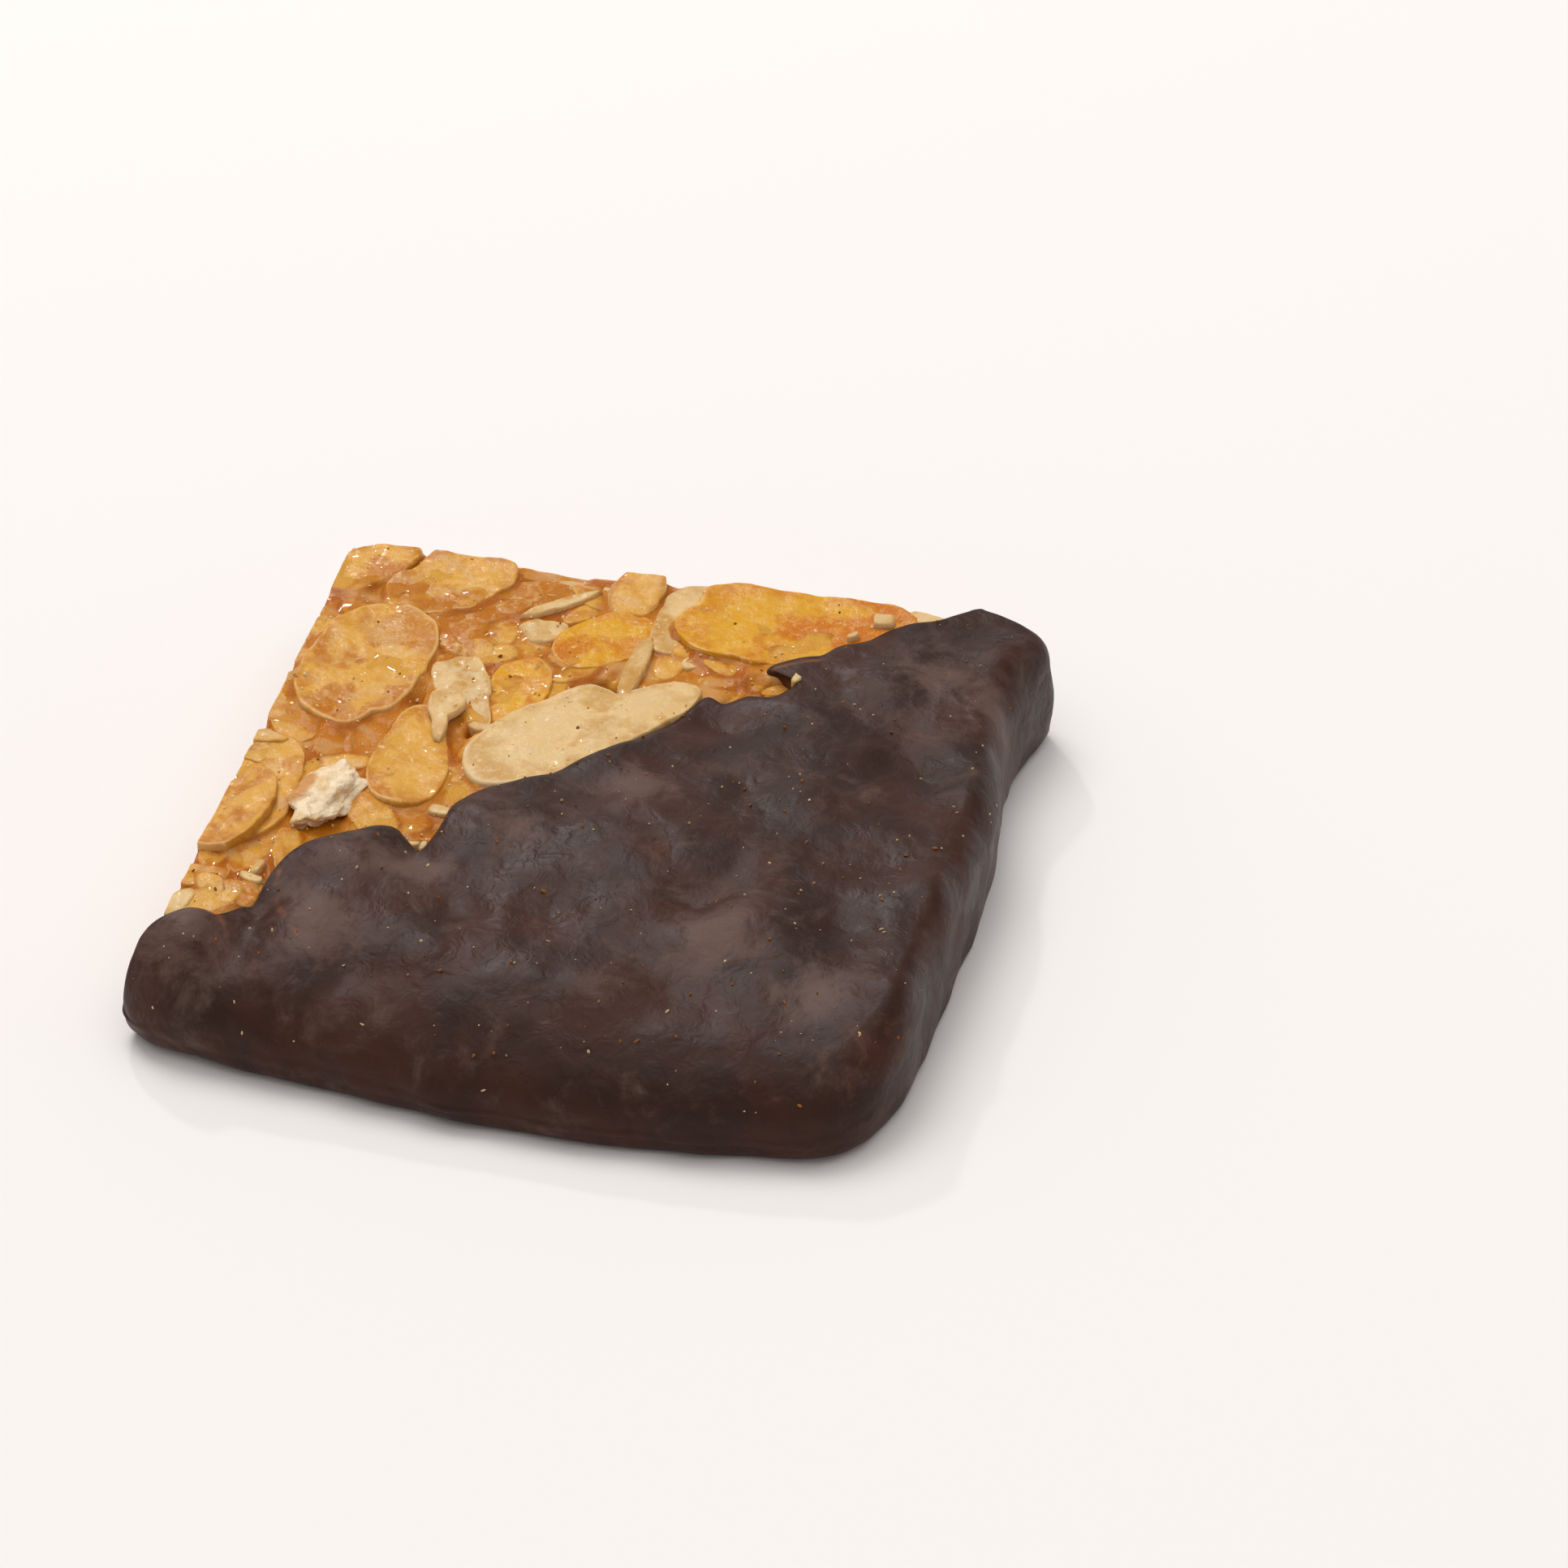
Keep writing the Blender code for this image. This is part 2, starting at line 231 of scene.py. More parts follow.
def slice_mesh(slice_, build, layers):
    """Adds one closed slice to a bmesh that is being built."""
    coarse = slice_.long < COARSE_LENGTH
    count = COARSE_POINTS if coarse else OUTLINE_POINTS
    theta = np.linspace(0.0, 2.0 * math.pi, count, endpoint=False)
    reach = rim_radius(slice_, theta)
    rows = []
    for place in RING_PLACES[1::2 if coarse else 1]:
        x, y = from_slice(slice_, reach * place * np.cos(theta), reach * place * np.sin(theta))
        z = face_height(slice_, x, y) + 0.13 * waves_over(x, y, 2.4, slice_.seed)
        z += 0.06 * waves_over(x, y, 0.9, slice_.seed + 5.0)
        inset = np.minimum((1.0 - place) * reach, RIM_RADIUS)
        z -= RIM_RADIUS - np.sqrt(RIM_RADIUS ** 2 - (RIM_RADIUS - inset) ** 2)
        rows.append((x, y, z, place))
    edge_x, edge_y, edge_z, _ = rows[-1]
    lower = face_height(slice_, edge_x, edge_y) - slice_.thick
    rows.append((edge_x, edge_y, (edge_z + lower) / 2, 1.0))
    for place in (0.985, 0.8, 0.45):
        x, y = from_slice(slice_, reach * place * np.cos(theta), reach * place * np.sin(theta))
        rows.append((x, y, face_height(slice_, x, y) - slice_.thick, 1.0))

    def corner(x, y, z, rim):
        made = build.verts.new(Vector((x, y, z)) * MM)
        tone = slice_.tone + slice_.lean * float(to_slice(slice_, x, y)[0]) / slice_.long
        for layer, value in zip(layers, (rim, tone, slice_.milk)):
            made[layer] = value
        return made

    top_middle = corner(slice_.x, slice_.y, float(face_height(slice_, slice_.x, slice_.y)), 0.0)
    low_middle = corner(slice_.x, slice_.y, top_middle.co.z / MM - slice_.thick, 1.0)
    rings = [[corner(*values, place) for values in zip(x, y, z)] for x, y, z, place in rows]
    made_faces = []
    for step in range(count):
        after = (step + 1) % count
        made_faces.append(build.faces.new((top_middle, rings[0][step], rings[0][after])))
        for inner, outer in zip(rings, rings[1:]):
            made_faces.append(build.faces.new(
                (inner[step], outer[step], outer[after], inner[after])))
        made_faces.append(build.faces.new((rings[-1][after], rings[-1][step], low_middle)))
    return made_faces


SQUARE_CUTS = (((-KNIFE_REACH, 0, 0), (-1, 0, 0)), ((0, KNIFE_REACH, 0), (0, 1, 0)),
               ((0, 0, slab_low.z - 0.05), (0, 0, -1)))


def knife(build, cuts=SQUARE_CUTS):
    """Trims what stands past each cut, the left, back and lower faces unless others are
    given, and closes the cut faces."""
    for place, outward in cuts:
        geometry = build.verts[:] + build.edges[:] + build.faces[:]
        cut = bmesh.ops.bisect_plane(
            build, geom=geometry, plane_co=Vector(place) * MM, plane_no=outward,
            clear_outer=True)
        rim = [part for part in cut["geom_cut"] if isinstance(part, bmesh.types.BMEdge)]
        if rim:
            bmesh.ops.holes_fill(build, edges=rim, sides=0)


def finish_mesh(build, name, material, smooth_angle=50.0):
    bmesh.ops.recalc_face_normals(build, faces=build.faces)
    mesh = bpy.data.meshes.new(name)
    build.to_mesh(mesh)
    build.free()
    mesh.shade_smooth()
    mesh.set_sharp_from_angle(angle=math.radians(smooth_angle))
    mesh.materials.append(material)
    return mesh


def slices_object(name, slices, material):
    build, layers = new_build("rim", "tone", "milk")
    for slice_ in slices:
        slice_mesh(slice_, build, layers)
    knife(build)
    return new_object(name, finish_mesh(build, name, material))


def fill(tree, node, entries):
    """Sets a node's inputs, by name or number, to values or to other nodes' outputs."""
    for entry, value in entries.items():
        socket = node.inputs[entry]
        if hasattr(value, "is_output"):
            tree.links.new(value, socket)
        else:
            socket.default_value = (*value, 1.0) if socket.type == "RGBA" else value


def put(tree, kind, entries=None, **settings):
    """Adds a node with its settings, then its inputs."""
    made = tree.nodes.new(kind)
    for name, value in settings.items():
        setattr(made, name, value)
    fill(tree, made, entries or {})
    return made


def read(tree, name):
    """A value kept on the mesh's points."""
    return put(tree, "ShaderNodeAttribute", attribute_name=name).outputs["Fac"]


def maths(tree, operation, *values):
    return put(tree, "ShaderNodeMath", dict(enumerate(values)), operation=operation).outputs[0]


def mix(tree, share, first, second):
    """Two colours, the second in the share given."""
    entries = {0: share, 6: first, 7: second}
    return put(tree, "ShaderNodeMix", entries, data_type="RGBA").outputs[2]


def stretch(tree, value, low, high, to_low=0.0, to_high=1.0):
    """Maps a value between two limits to a smooth 0 to 1, or to the range given."""
    entries = {"Value": value, "From Min": low, "From Max": high, "To Min": to_low,
               "To Max": to_high}
    ranger = put(tree, "ShaderNodeMapRange", entries, interpolation_type="SMOOTHSTEP")
    return ranger.outputs["Result"]


def new_group(name, inputs, outputs):
    """An empty shader node group, what its named inputs give, and the node for its outputs."""
    tree = bpy.data.node_groups.new(name, "ShaderNodeTree")
    for label, value in inputs.items():
        socket = tree.interface.new_socket(
            name=label, in_out="INPUT", socket_type="NodeSocketFloat")
        socket.default_value = value
    for label in outputs:
        tree.interface.new_socket(name=label, in_out="OUTPUT", socket_type="NodeSocketFloat")
    return tree, tree.nodes.new("NodeGroupInput").outputs, tree.nodes.new("NodeGroupOutput")


# Sugar film: blotches where cooked caramel lies thick or thin, and the fine streaks in it.
SUGAR_FILM, film_in, film_out = new_group(
    "sugar_film", {"Size": 300.0, "Seed": 0.0}, ("Blotches", "Streaks"))
film_place = put(SUGAR_FILM, "ShaderNodeTexCoord").outputs["Object"]
film_blotches = put(
    SUGAR_FILM, "ShaderNodeTexNoise",
    {"Vector": film_place, "W": film_in["Seed"], "Scale": film_in["Size"], "Detail": 3.0,
     "Roughness": 0.55, "Distortion": 0.6}, noise_dimensions="4D").outputs["Fac"]
film_streaks = put(
    SUGAR_FILM, "ShaderNodeTexNoise",
    {"Vector": film_place, "W": film_in["Seed"], "Scale": 1700.0, "Detail": 4.0,
     "Roughness": 0.65, "Distortion": 0.5}, noise_dimensions="4D").outputs["Fac"]
fill(SUGAR_FILM, film_out, {"Blotches": stretch(SUGAR_FILM, film_blotches, 0.36, 0.66),
                            "Streaks": stretch(SUGAR_FILM, film_streaks, 0.40, 0.62)})

# Flecks: separate tiny spots, such as air bubbles, sugar grains or bits of brown skin.
FLECKS, fleck_in, fleck_out = new_group(
    "flecks", {"Size": 600.0, "Amount": 0.3, "Seed": 0.0}, ("Mask",))
fleck_place = put(FLECKS, "ShaderNodeTexCoord").outputs["Object"]
fleck_warp = put(FLECKS, "ShaderNodeTexNoise", {"Vector": fleck_place, "Scale": 2500.0})
fleck_bent = put(
    FLECKS, "ShaderNodeMix", {0: 0.0004, 4: fleck_place, 5: fleck_warp.outputs["Color"]},
    data_type="VECTOR", factor_mode="UNIFORM").outputs[1]
fleck_cells = put(
    FLECKS, "ShaderNodeTexVoronoi",
    {"Vector": fleck_bent, "W": fleck_in["Seed"], "Scale": fleck_in["Size"]},
    voronoi_dimensions="4D")
fleck_chance = put(FLECKS, "ShaderNodeSeparateColor", {"Color": fleck_cells.outputs["Color"]})
fleck_reach = maths(FLECKS, "MULTIPLY", fleck_chance.outputs["Red"], fleck_in["Amount"])
fleck_edge = maths(FLECKS, "SUBTRACT", fleck_reach, fleck_cells.outputs["Distance"])
fill(FLECKS, fleck_out, {"Mask": stretch(FLECKS, fleck_edge, 0.0, 0.05)})


def film_over(tree, size, seed):
    """The blotches and the streaks of a sugar film."""
    film = put(tree, "ShaderNodeGroup", {"Size": size, "Seed": seed}, node_tree=SUGAR_FILM)
    return film.outputs["Blotches"], film.outputs["Streaks"]


def flecks_over(tree, size, amount, seed):
    entries = {"Size": size, "Amount": amount, "Seed": seed}
    return put(tree, "ShaderNodeGroup", entries, node_tree=FLECKS).outputs["Mask"]


def speckle(tree, colour, mask, most, shade):
    """The colour with a shade over it where the mask shows, up to the share given."""
    return mix(tree, stretch(tree, mask, 0.0, 1.0, 0.0, most), colour, shade)


def glaze_share(tree, film):
    """Where caramel covers a slice: by the slice's tone, more where the film is thick."""
    uneven = stretch(tree, film, 0.0, 1.0, -0.55, 0.55)
    return stretch(tree, maths(tree, "ADD", uneven, read(tree, "tone")), 0.0, 1.0)


def relief(tree, shader, height, strength, depth, entries=("Normal",)):
    """Fine relief, its depth in metres."""
    bump = put(tree, "ShaderNodeBump", {"Height": height, "Strength": strength, "Distance": depth})
    fill(tree, shader, {entry: bump.outputs["Normal"] for entry in entries})


def almond_finish(name, body, glazed, milky, rim, gloss, seed):
    """Almond flesh under caramel: flesh, glaze where the film is thick, milky film and rim."""
    material, tree, shader = new_material(name)
    film, streaks = film_over(tree, 230.0, seed)
    cloud, grain = film_over(tree, 620.0, seed + 11.0)
    to_rim = read(tree, "rim")
    colour = mix(tree, glaze_share(tree, film), body, glazed)
    clouded = maths(tree, "MULTIPLY", stretch(tree, cloud, 0.25, 0.95), read(tree, "milk"))
    colour = mix(tree, clouded, colour, milky)
    pooled = maths(tree, "MULTIPLY", stretch(tree, to_rim, 0.60, 0.92, 0.0, 0.75), cloud)
    colour = mix(tree, pooled, colour, glazed)
    edge = maths(tree, "MULTIPLY", stretch(tree, to_rim, 0.93, 0.985, 0.0, 0.6),
                 stretch(tree, film, 0.3, 0.8))
    colour = mix(tree, edge, colour, rim)
    colour = mix(tree, stretch(tree, streaks, 0.55, 1.0, 0.0, 0.25), colour, rim)
    bubbles = flecks_over(tree, 1100.0, 0.24, seed + 3.0)
    colour = speckle(tree, colour, bubbles, 0.5, (0.84, 0.62, 0.36))
    chips = flecks_over(tree, 520.0, 0.17, seed + 5.0)
    colour = speckle(tree, colour, chips, 0.55, (0.84, 0.64, 0.38))
    skins = flecks_over(tree, 430.0, 0.13, seed + 7.0)
    colour = speckle(tree, colour, skins, 0.85, (0.16, 0.05, 0.014))
    fill(tree, shader, {
        "Base Color": colour, "Roughness": stretch(tree, grain, 0.0, 1.0, gloss, gloss + 0.25),
        "Specular IOR Level": 0.10, "Coat Weight": 0.20, "Coat Roughness": 0.07,
        "Subsurface Weight": 0.10, "Subsurface Radius": (1.0, 0.45, 0.12),
        "Subsurface Scale": 0.0012})
    relief(tree, shader, maths(tree, "ADD", grain, bubbles), 0.22, 0.00010,
           ("Normal", "Coat Normal"))
    return material


ALMOND_GLAZED = almond_finish(
    "almond_glazed", (0.655, 0.325, 0.045), (0.47, 0.150, 0.004), (0.61, 0.35, 0.13),
    (0.80, 0.51, 0.19), 0.20, 1.0)
ALMOND_PALE = almond_finish(
    "almond_pale", (0.70, 0.470, 0.205), (0.52, 0.260, 0.050), (0.64, 0.45, 0.23),
    (0.80, 0.61, 0.36), 0.34, 2.0)
ALMOND_GOLDEN = almond_finish(
    "almond_golden", (0.67, 0.325, 0.016), (0.540, 0.150, 0.002), (0.61, 0.33, 0.08),
    (0.80, 0.52, 0.15), 0.18, 4.0)

# The flakes that have a node of their own, from the back left corner towards the chocolate.
LARGE_FLAKES = {
    "flake_corner": (flake(
        -22.3, 22.3, 3.4, 2.6, 0, 8.3, pitch=0.03, roll=0.07, tone=0.25, lean=0.4, milk=0.1,
        wet=0.15,
        outline=((-24.9, 23.9), (-23.0, 24.9), (-19.9, 25.3), (-19.3, 24.1), (-20.2, 21.7),
                 (-21.9, 20.3), (-22.3, 19.5), (-23.5, 18.9), (-24.9, 19.3))),
        ALMOND_GLAZED, "almond"),
    "flake_back_left": (flake(
        -16.3, 21.5, 5.3, 4.0, 0, 8.3, pitch=0.01, roll=0.05, bow=0.15, tone=0.40, milk=0.6,
        wet=0.12,
        outline=((-18.3, 25.2), (-14.6, 25.6), (-12.4, 24.5), (-11.7, 22.6), (-12.7, 20.6),
                 (-14.4, 18.6), (-16.2, 17.7), (-18.5, 17.2), (-20.4, 17.8), (-21.4, 19.8),
                 (-21.2, 21.3), (-19.6, 22.2), (-19.0, 23.8))), ALMOND_GLAZED, "almond"),
    "flake_round": (flake(
        -19.6, 10.5, 7.1, 4.45, 84, 8.28, square=2.4, taper=-0.03, bow=0.22, pitch=0.012,
        roll=0.035, tone=0.30, lean=-0.25, milk=0.5, wet=0.2,
        bites=((205, 0.5, 7), (325, 0.35, 9))), ALMOND_GLAZED, "almond"),
    "flake_tan_edge": (flake(
        -23.4, 4.4, 4.4, 1.8, 113, 7.65, tone=0.7, milk=0.6, wet=0.05, roll=0.06),
        ALMOND_GLAZED, "almond"),
    "flake_left_edge": (flake(
        -23.6, -8.8, 4.9, 2.35, 81, 8.4, roll=-0.13, tone=0.45, milk=0.2, wet=0.5, bow=0.1),
        ALMOND_GLAZED, "almond"),
    "flake_teardrop": (flake(
        -13.5, 0.4, 5.95, 2.65, 97, 8.15, taper=-0.22, bow=0.12, roll=0.05, tone=0.1, lean=-0.2,
        milk=0.15, wet=0.20, wobble=0.02), ALMOND_GLAZED, "almond"),
    "flake_under_crumb": (flake(
        -18.9, -11.9, 3.2, 0.95, 104, 7.9, roll=0.25, tone=0.3, wet=0.2, breaks=((0, 2.6),)),
        ALMOND_GLAZED, "almond_golden"),
    "flake_pale_small": (flake(
        -11.8, 8.7, 5.1, 1.75, 119, 8.0, taper=0.32, roll=-0.10, pitch=0.02, tone=0.55,
        milk=0.9, wet=0.10, breaks=((8, 4.4), (-38, 3.9))), ALMOND_PALE, "almond_pale"),
    "flake_golden_middle": (flake(
        -8.2, 9.3, 4.7, 2.1, 94, 7.95, taper=0.20, roll=-0.07, bow=0.12, tone=0.3,
        lean=-0.4, milk=0.2, wet=0.12, breaks=((20, 4.0),)), ALMOND_GOLDEN, "almond_golden"),
    "flake_long_pale": (flake(
        -2.9, 6.0, 9.4, 3.6, 0, 8.62, wobble=0.006, bow=-0.10, roll=-0.012, tone=0.05,
        milk=0.5, wet=0.62,
        outline=((-9.9, 0.4), (-9.9, 2.0), (-8.7, 4.6), (-7.0, 7.3), (-5.3, 9.2), (-4.2, 10.4),
                 (-2.8, 11.0), (-1.5, 10.6), (-0.8, 9.8), (0.1, 11.2), (1.2, 12.8), (2.6, 13.4),
                 (4.1, 13.1), (4.9, 11.9), (4.3, 9.9), (2.3, 6.3), (-0.2, 2.7), (-2.9, -0.1),
                 (-5.3, -1.6), (-7.6, -2.3), (-9.2, -1.2))), ALMOND_PALE, "almond_pale"),
    "flake_oval": (flake(
        -3.8, 16.9, 4.1, 2.7, 48, 8.1, bow=0.10, roll=0.07, tone=0.1, lean=-0.2, milk=0.0, wet=0.3,
        wobble=0.02), ALMOND_GOLDEN, "almond"),
    "flake_pale_back": (flake(
        -8.5, 17.5, 1.9, 1.45, 20, 7.95, tone=0.2, milk=0.8, wet=0.15,
        breaks=((200, 1.5), (80, 1.1))), ALMOND_PALE, "almond_pale"),
    "flake_back_small": (flake(
        -2.9, 22.7, 3.0, 1.9, 86, 8.5, square=2.5, pitch=0.10, tone=0.1, milk=0.5, wet=0.25,
        breaks=((180, 2.6),)), ALMOND_GLAZED, "almond_golden"),
    "flake_big_golden": (flake(
        9.3, 20.9, 8.5, 4.95, 2, 8.6, square=2.5, roll=0.05, pitch=-0.012, bow=0.28,
        tone=0.38, lean=0.75, milk=0.15, wet=0.22, bites=((168, 0.7, 9), (232, 0.6, 12))),
        ALMOND_GOLDEN, "almond_golden"),
}
for node, (slice_, finish, slot) in LARGE_FLAKES.items():
    piece = slices_object(node + "_slice", [slice_], finish)
    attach(piece, "root")
    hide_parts(node)


# --- Small flakes and chips -----------------------------------------------------------------
# Broken slices that fill the space between the large ones. They are the same almond, mostly
# sunk in the caramel up to their rims, and some stand on edge.

SMALL_GLAZED = [
    flake(-10.2, 21.2, 3.3, 2.3, 22, 7.8, tone=0.85, milk=0.7, wet=0.0, roll=0.08),
    flake(-14.2, 17.6, 3.3, 1.3, 105, 7.85, tone=1.0, milk=0.4, wet=0.0),
    flake(-11.7, 16.2, 2.6, 1.45, 80, 7.75, tone=0.8, milk=0.7, wet=0.05),
    flake(-9.1, 14.9, 1.9, 0.9, 10, 7.7, tone=0.7, milk=0.9, wet=0.0),
    flake(-22.6, -4.9, 5.8, 2.5, 98, 7.95, tone=0.35, milk=0.4, wet=0.10, roll=-0.05),
    flake(-24.2, 13.0, 3.2, 1.1, 86, 7.8, tone=0.6, milk=0.8, wet=0.05),
    flake(-23.4, 17.2, 1.7, 1.2, 40, 7.6, tone=1.0, milk=0.3, wet=0.0, breaks=((40, 1.2),)),
    flake(-14.5, -6.6, 3.1, 1.5, 126, 7.85, tone=0.15, milk=0.1, wet=0.1, pitch=0.06),
    flake(-18.0, -1.2, 1.8, 1.4, 0, 7.8, tone=0.3, milk=0.8, wet=0.1, wobble=0.1,
          breaks=((120, 1.0), (-60, 1.1))),
    flake(1.4, 15.0, 1.7, 1.1, 80, 7.95, tone=0.1, milk=0.0, wet=0.1, breaks=((30, 1.1),)),
    flake(5.3, 14.0, 1.6, 0.8, 12, 7.8, tone=0.5, milk=0.5, wet=0.1),
    flake(-12.2, -7.0, 1.9, 1.3, 30, 7.5, tone=0.9, wet=0.0),
    flake(-23.9, -15.7, 2.1, 1.4, 20, 7.85, tone=0.3, milk=0.4, wet=0.12, breaks=((70, 1.0),)),
    flake(-22.2, -18.3, 2.5, 1.3, 58, 7.95, tone=0.1, milk=0.6, wet=0.12, roll=0.1),
    flake(-20.2, -17.0, 1.5, 0.9, 100, 7.75, tone=0.7, wet=0.1),
    flake(-21.2, -12.6, 2.4, 1.0, 66, 7.6, tone=0.6, wet=0.0),
    flake(3.1, 18.2, 2.9, 1.5, 62, 8.1, tone=0.4, milk=0.4, wet=0.1),
    flake(0.3, 13.2, 2.0, 0.9, 100, 7.8, tone=0.5, milk=0.4, wet=0.05),
    flake(8.3, 14.6, 2.2, 1.0, 165, 7.7, tone=0.9, wet=0.0),
    flake(-16.2, 5.6, 1.9, 1.0, 60, 7.4, tone=0.9, milk=0.6, wet=0.0),
    flake(-17.6, 2.6, 2.2, 1.1, 155, 7.4, tone=0.8, milk=0.3, wet=0.0),
    flake(-5.9, 20.5, 2.2, 0.9, 55, 7.9, tone=0.2, milk=0.2, wet=0.1),
    flake(-9.8, 24.3, 2.1, 0.9, 5, 7.5, tone=0.5, milk=0.8, wet=0.0),
    flake(-24.1, -1.7, 1.5, 1.0, 60, 8.0, tone=0.4, milk=0.9, wet=0.2, breaks=((200, 0.9),)),
    flake(-6.3, 14.0, 1.3, 0.7, -32, 8.0, tone=0.3, milk=1.0, wet=0.2, wobble=0.1),
    flake(-23.9, 0.5, 1.5, 0.8, 5, 8.1, tone=0.1, milk=1.0, wet=0.3, breaks=((60, 0.6),)),
    flake(-14.6, 14.3, 1.4, 0.7, 130, 8.0, tone=0.4, milk=1.0, wet=0.2, wobble=0.1),
    flake(-17.6, 16.9, 2.6, 1.6, 15, 7.85, tone=0.8, milk=0.5, wet=0.0, roll=0.1),
    flake(-21.6, 16.9, 2.2, 1.1, 150, 7.75, tone=0.9, milk=0.2, wet=0.0, roll=-0.1),
    flake(-12.9, 12.8, 2.4, 1.5, 70, 7.9, tone=0.6, milk=0.8, wet=0.0, pitch=0.1),
    flake(-11.3, 13.7, 2.1, 1.2, 20, 7.95, tone=0.4, milk=0.6, wet=0.05, breaks=((90, 0.9),)),
    flake(-6.4, 11.9, 2.6, 1.4, 100, 7.85, tone=0.5, milk=0.5, wet=0.0, roll=0.1),
    flake(-4.9, 13.0, 2.0, 1.0, 50, 7.9, tone=0.3, milk=0.3, wet=0.05, roll=-0.1),
    flake(-9.2, 2.8, 2.4, 1.2, 75, 7.75, tone=0.7, milk=0.7, wet=0.0, roll=0.1),
    flake(-10.0, -1.9, 2.5, 1.3, 120, 7.7, tone=0.6, milk=0.4, wet=0.0),
    flake(-15.8, -3.6, 2.0, 1.0, 20, 7.7, tone=0.5, milk=0.5, wet=0.0, roll=0.12),
    flake(-19.4, 1.0, 2.8, 1.4, 100, 7.6, tone=0.9, milk=0.2, wet=0.0, roll=-0.1),
    flake(-19.8, -3.0, 2.3, 1.2, 110, 7.75, tone=0.6, milk=0.6, wet=0.0, roll=0.1),
    flake(-6.0, 22.3, 2.0, 1.1, 140, 7.95, tone=0.3, milk=0.6, wet=0.05, roll=0.1),
    flake(-12.0, 19.2, 2.2, 1.0, 40, 7.95, tone=0.7, milk=0.5, wet=0.0, roll=-0.1),
    flake(4.6, 16.4, 2.4, 1.2, 140, 8.0, tone=0.6, milk=0.3, wet=0.05, roll=0.1),
    flake(-23.6, -13.0, 2.0, 1.0, 85, 7.85, tone=0.5, milk=0.4, wet=0.05, roll=0.12),
    flake(-21.5, -9.3, 1.9, 0.8, 70, 7.6, tone=0.8, milk=0.1, wet=0.0),
    flake(-22.8, -16.9, 1.4, 0.9, 130, 8.05, tone=0.2, milk=0.7, wet=0.1, roll=-0.1),
    flake(-15.7, 9.6, 1.6, 0.8, 80, 7.7, tone=0.8, milk=0.6, wet=0.0),
    flake(-14.6, 11.6, 1.9, 0.9, 60, 7.85, tone=0.5, milk=0.8, wet=0.0, roll=0.12),
]
SMALL_PALE = [
    flake(1.0, 20.8, 4.3, 1.9, 86, 8.2, tone=0.55, milk=0.5, wet=0.15, square=2.6),
    flake(-7.2, 23.5, 2.3, 0.65, 3, 7.85, tone=0.0, wet=0.35, breaks=((170, 1.9),)),
    flake(-7.9, 20.7, 3.5, 0.5, 42, 8.25, tone=0.4, wet=0.4, thick=2.0),
    flake(2.9, 15.7, 0.9, 0.7, 60, 8.05, tone=0.6, milk=0.9, wet=0.2),
    flake(-20.3, -14.1, 0.9, 0.35, 80, 7.95, tone=0.0, wet=0.35, thick=0.7),
    flake(-20.4, -15.4, 0.95, 0.45, -25, 8.05, tone=0.0, wet=0.35, thick=0.7),
    flake(-9.9, -5.2, 0.85, 0.5, -10, 7.95, tone=0.0, wet=0.3, thick=0.6, square=3.0),
    flake(-24.3, -19.3, 1.7, 0.8, 70, 8.1, tone=0.2, wet=0.2),
    flake(18.3, 24.4, 1.7, 0.8, 10, 8.4, tone=0.1, wet=0.4, breaks=((60, 0.5),)),
    flake(-0.8, 13.9, 4.0, 0.75, 88, 8.4, tone=0.9, milk=0.3, wet=0.6, thick=2.2),
    flake(-12.4, 5.0, 2.6, 1.2, 0, 8.75, tone=0.1, milk=0.0, wet=0.9, thick=0.45, wobble=0.0,
          roll=0.10, pitch=-0.08,
          outline=((-13.9, 7.0), (-12.8, 7.5), (-11.9, 7.7), (-11.1, 6.5), (-11.4, 5.5),
                   (-12.0, 4.6), (-11.8, 3.2), (-12.0, 1.6), (-12.6, 2.4), (-13.1, 4.2),
                   (-13.7, 5.2))),
    flake(15.4, 22.6, 0.75, 0.62, 10, 9.0, tone=0.3, wet=0.4, square=4.0, thick=1.0),
    flake(13.6, 20.4, 0.5, 0.3, 40, 8.85, tone=0.1, wet=0.3, thick=0.7, square=3.0),
    flake(-11.8, -4.6, 0.5, 0.3, 20, 7.75, tone=0.0, wet=0.3, thick=0.5),
    flake(-10.9, -9.1, 0.6, 0.25, 15, 7.7, tone=0.0, milk=1.0, wet=0.3, thick=0.5, roll=0.3),
    flake(-10.1, -9.0, 0.4, 0.3, 70, 7.6, tone=0.0, milk=1.0, wet=0.3, thick=0.4, pitch=0.4),
    flake(10.9, 14.1, 0.5, 0.3, 60, 9.2, tone=0.0, milk=1.0, wet=0.4, thick=0.6, pitch=0.5,
          breaks=((0, 0.2),)),
]
for name, slices, finish, slot in (
        ("small_glazed_flakes", SMALL_GLAZED, ALMOND_GLAZED, "almond"),
        ("small_pale_flakes", SMALL_PALE, ALMOND_PALE, "almond_pale")):
    piece = slices_object(name, slices, finish)
    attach(piece, "root")


# --- Caramel slab ---------------------------------------------------------------------------
# Butter caramel cooked to amber, poured with the almonds and baked in a thin sheet. It climbs
# up every flake's rim, sinks between them, and was sawn into squares while warm, so its bare
# sides show the flakes in section.

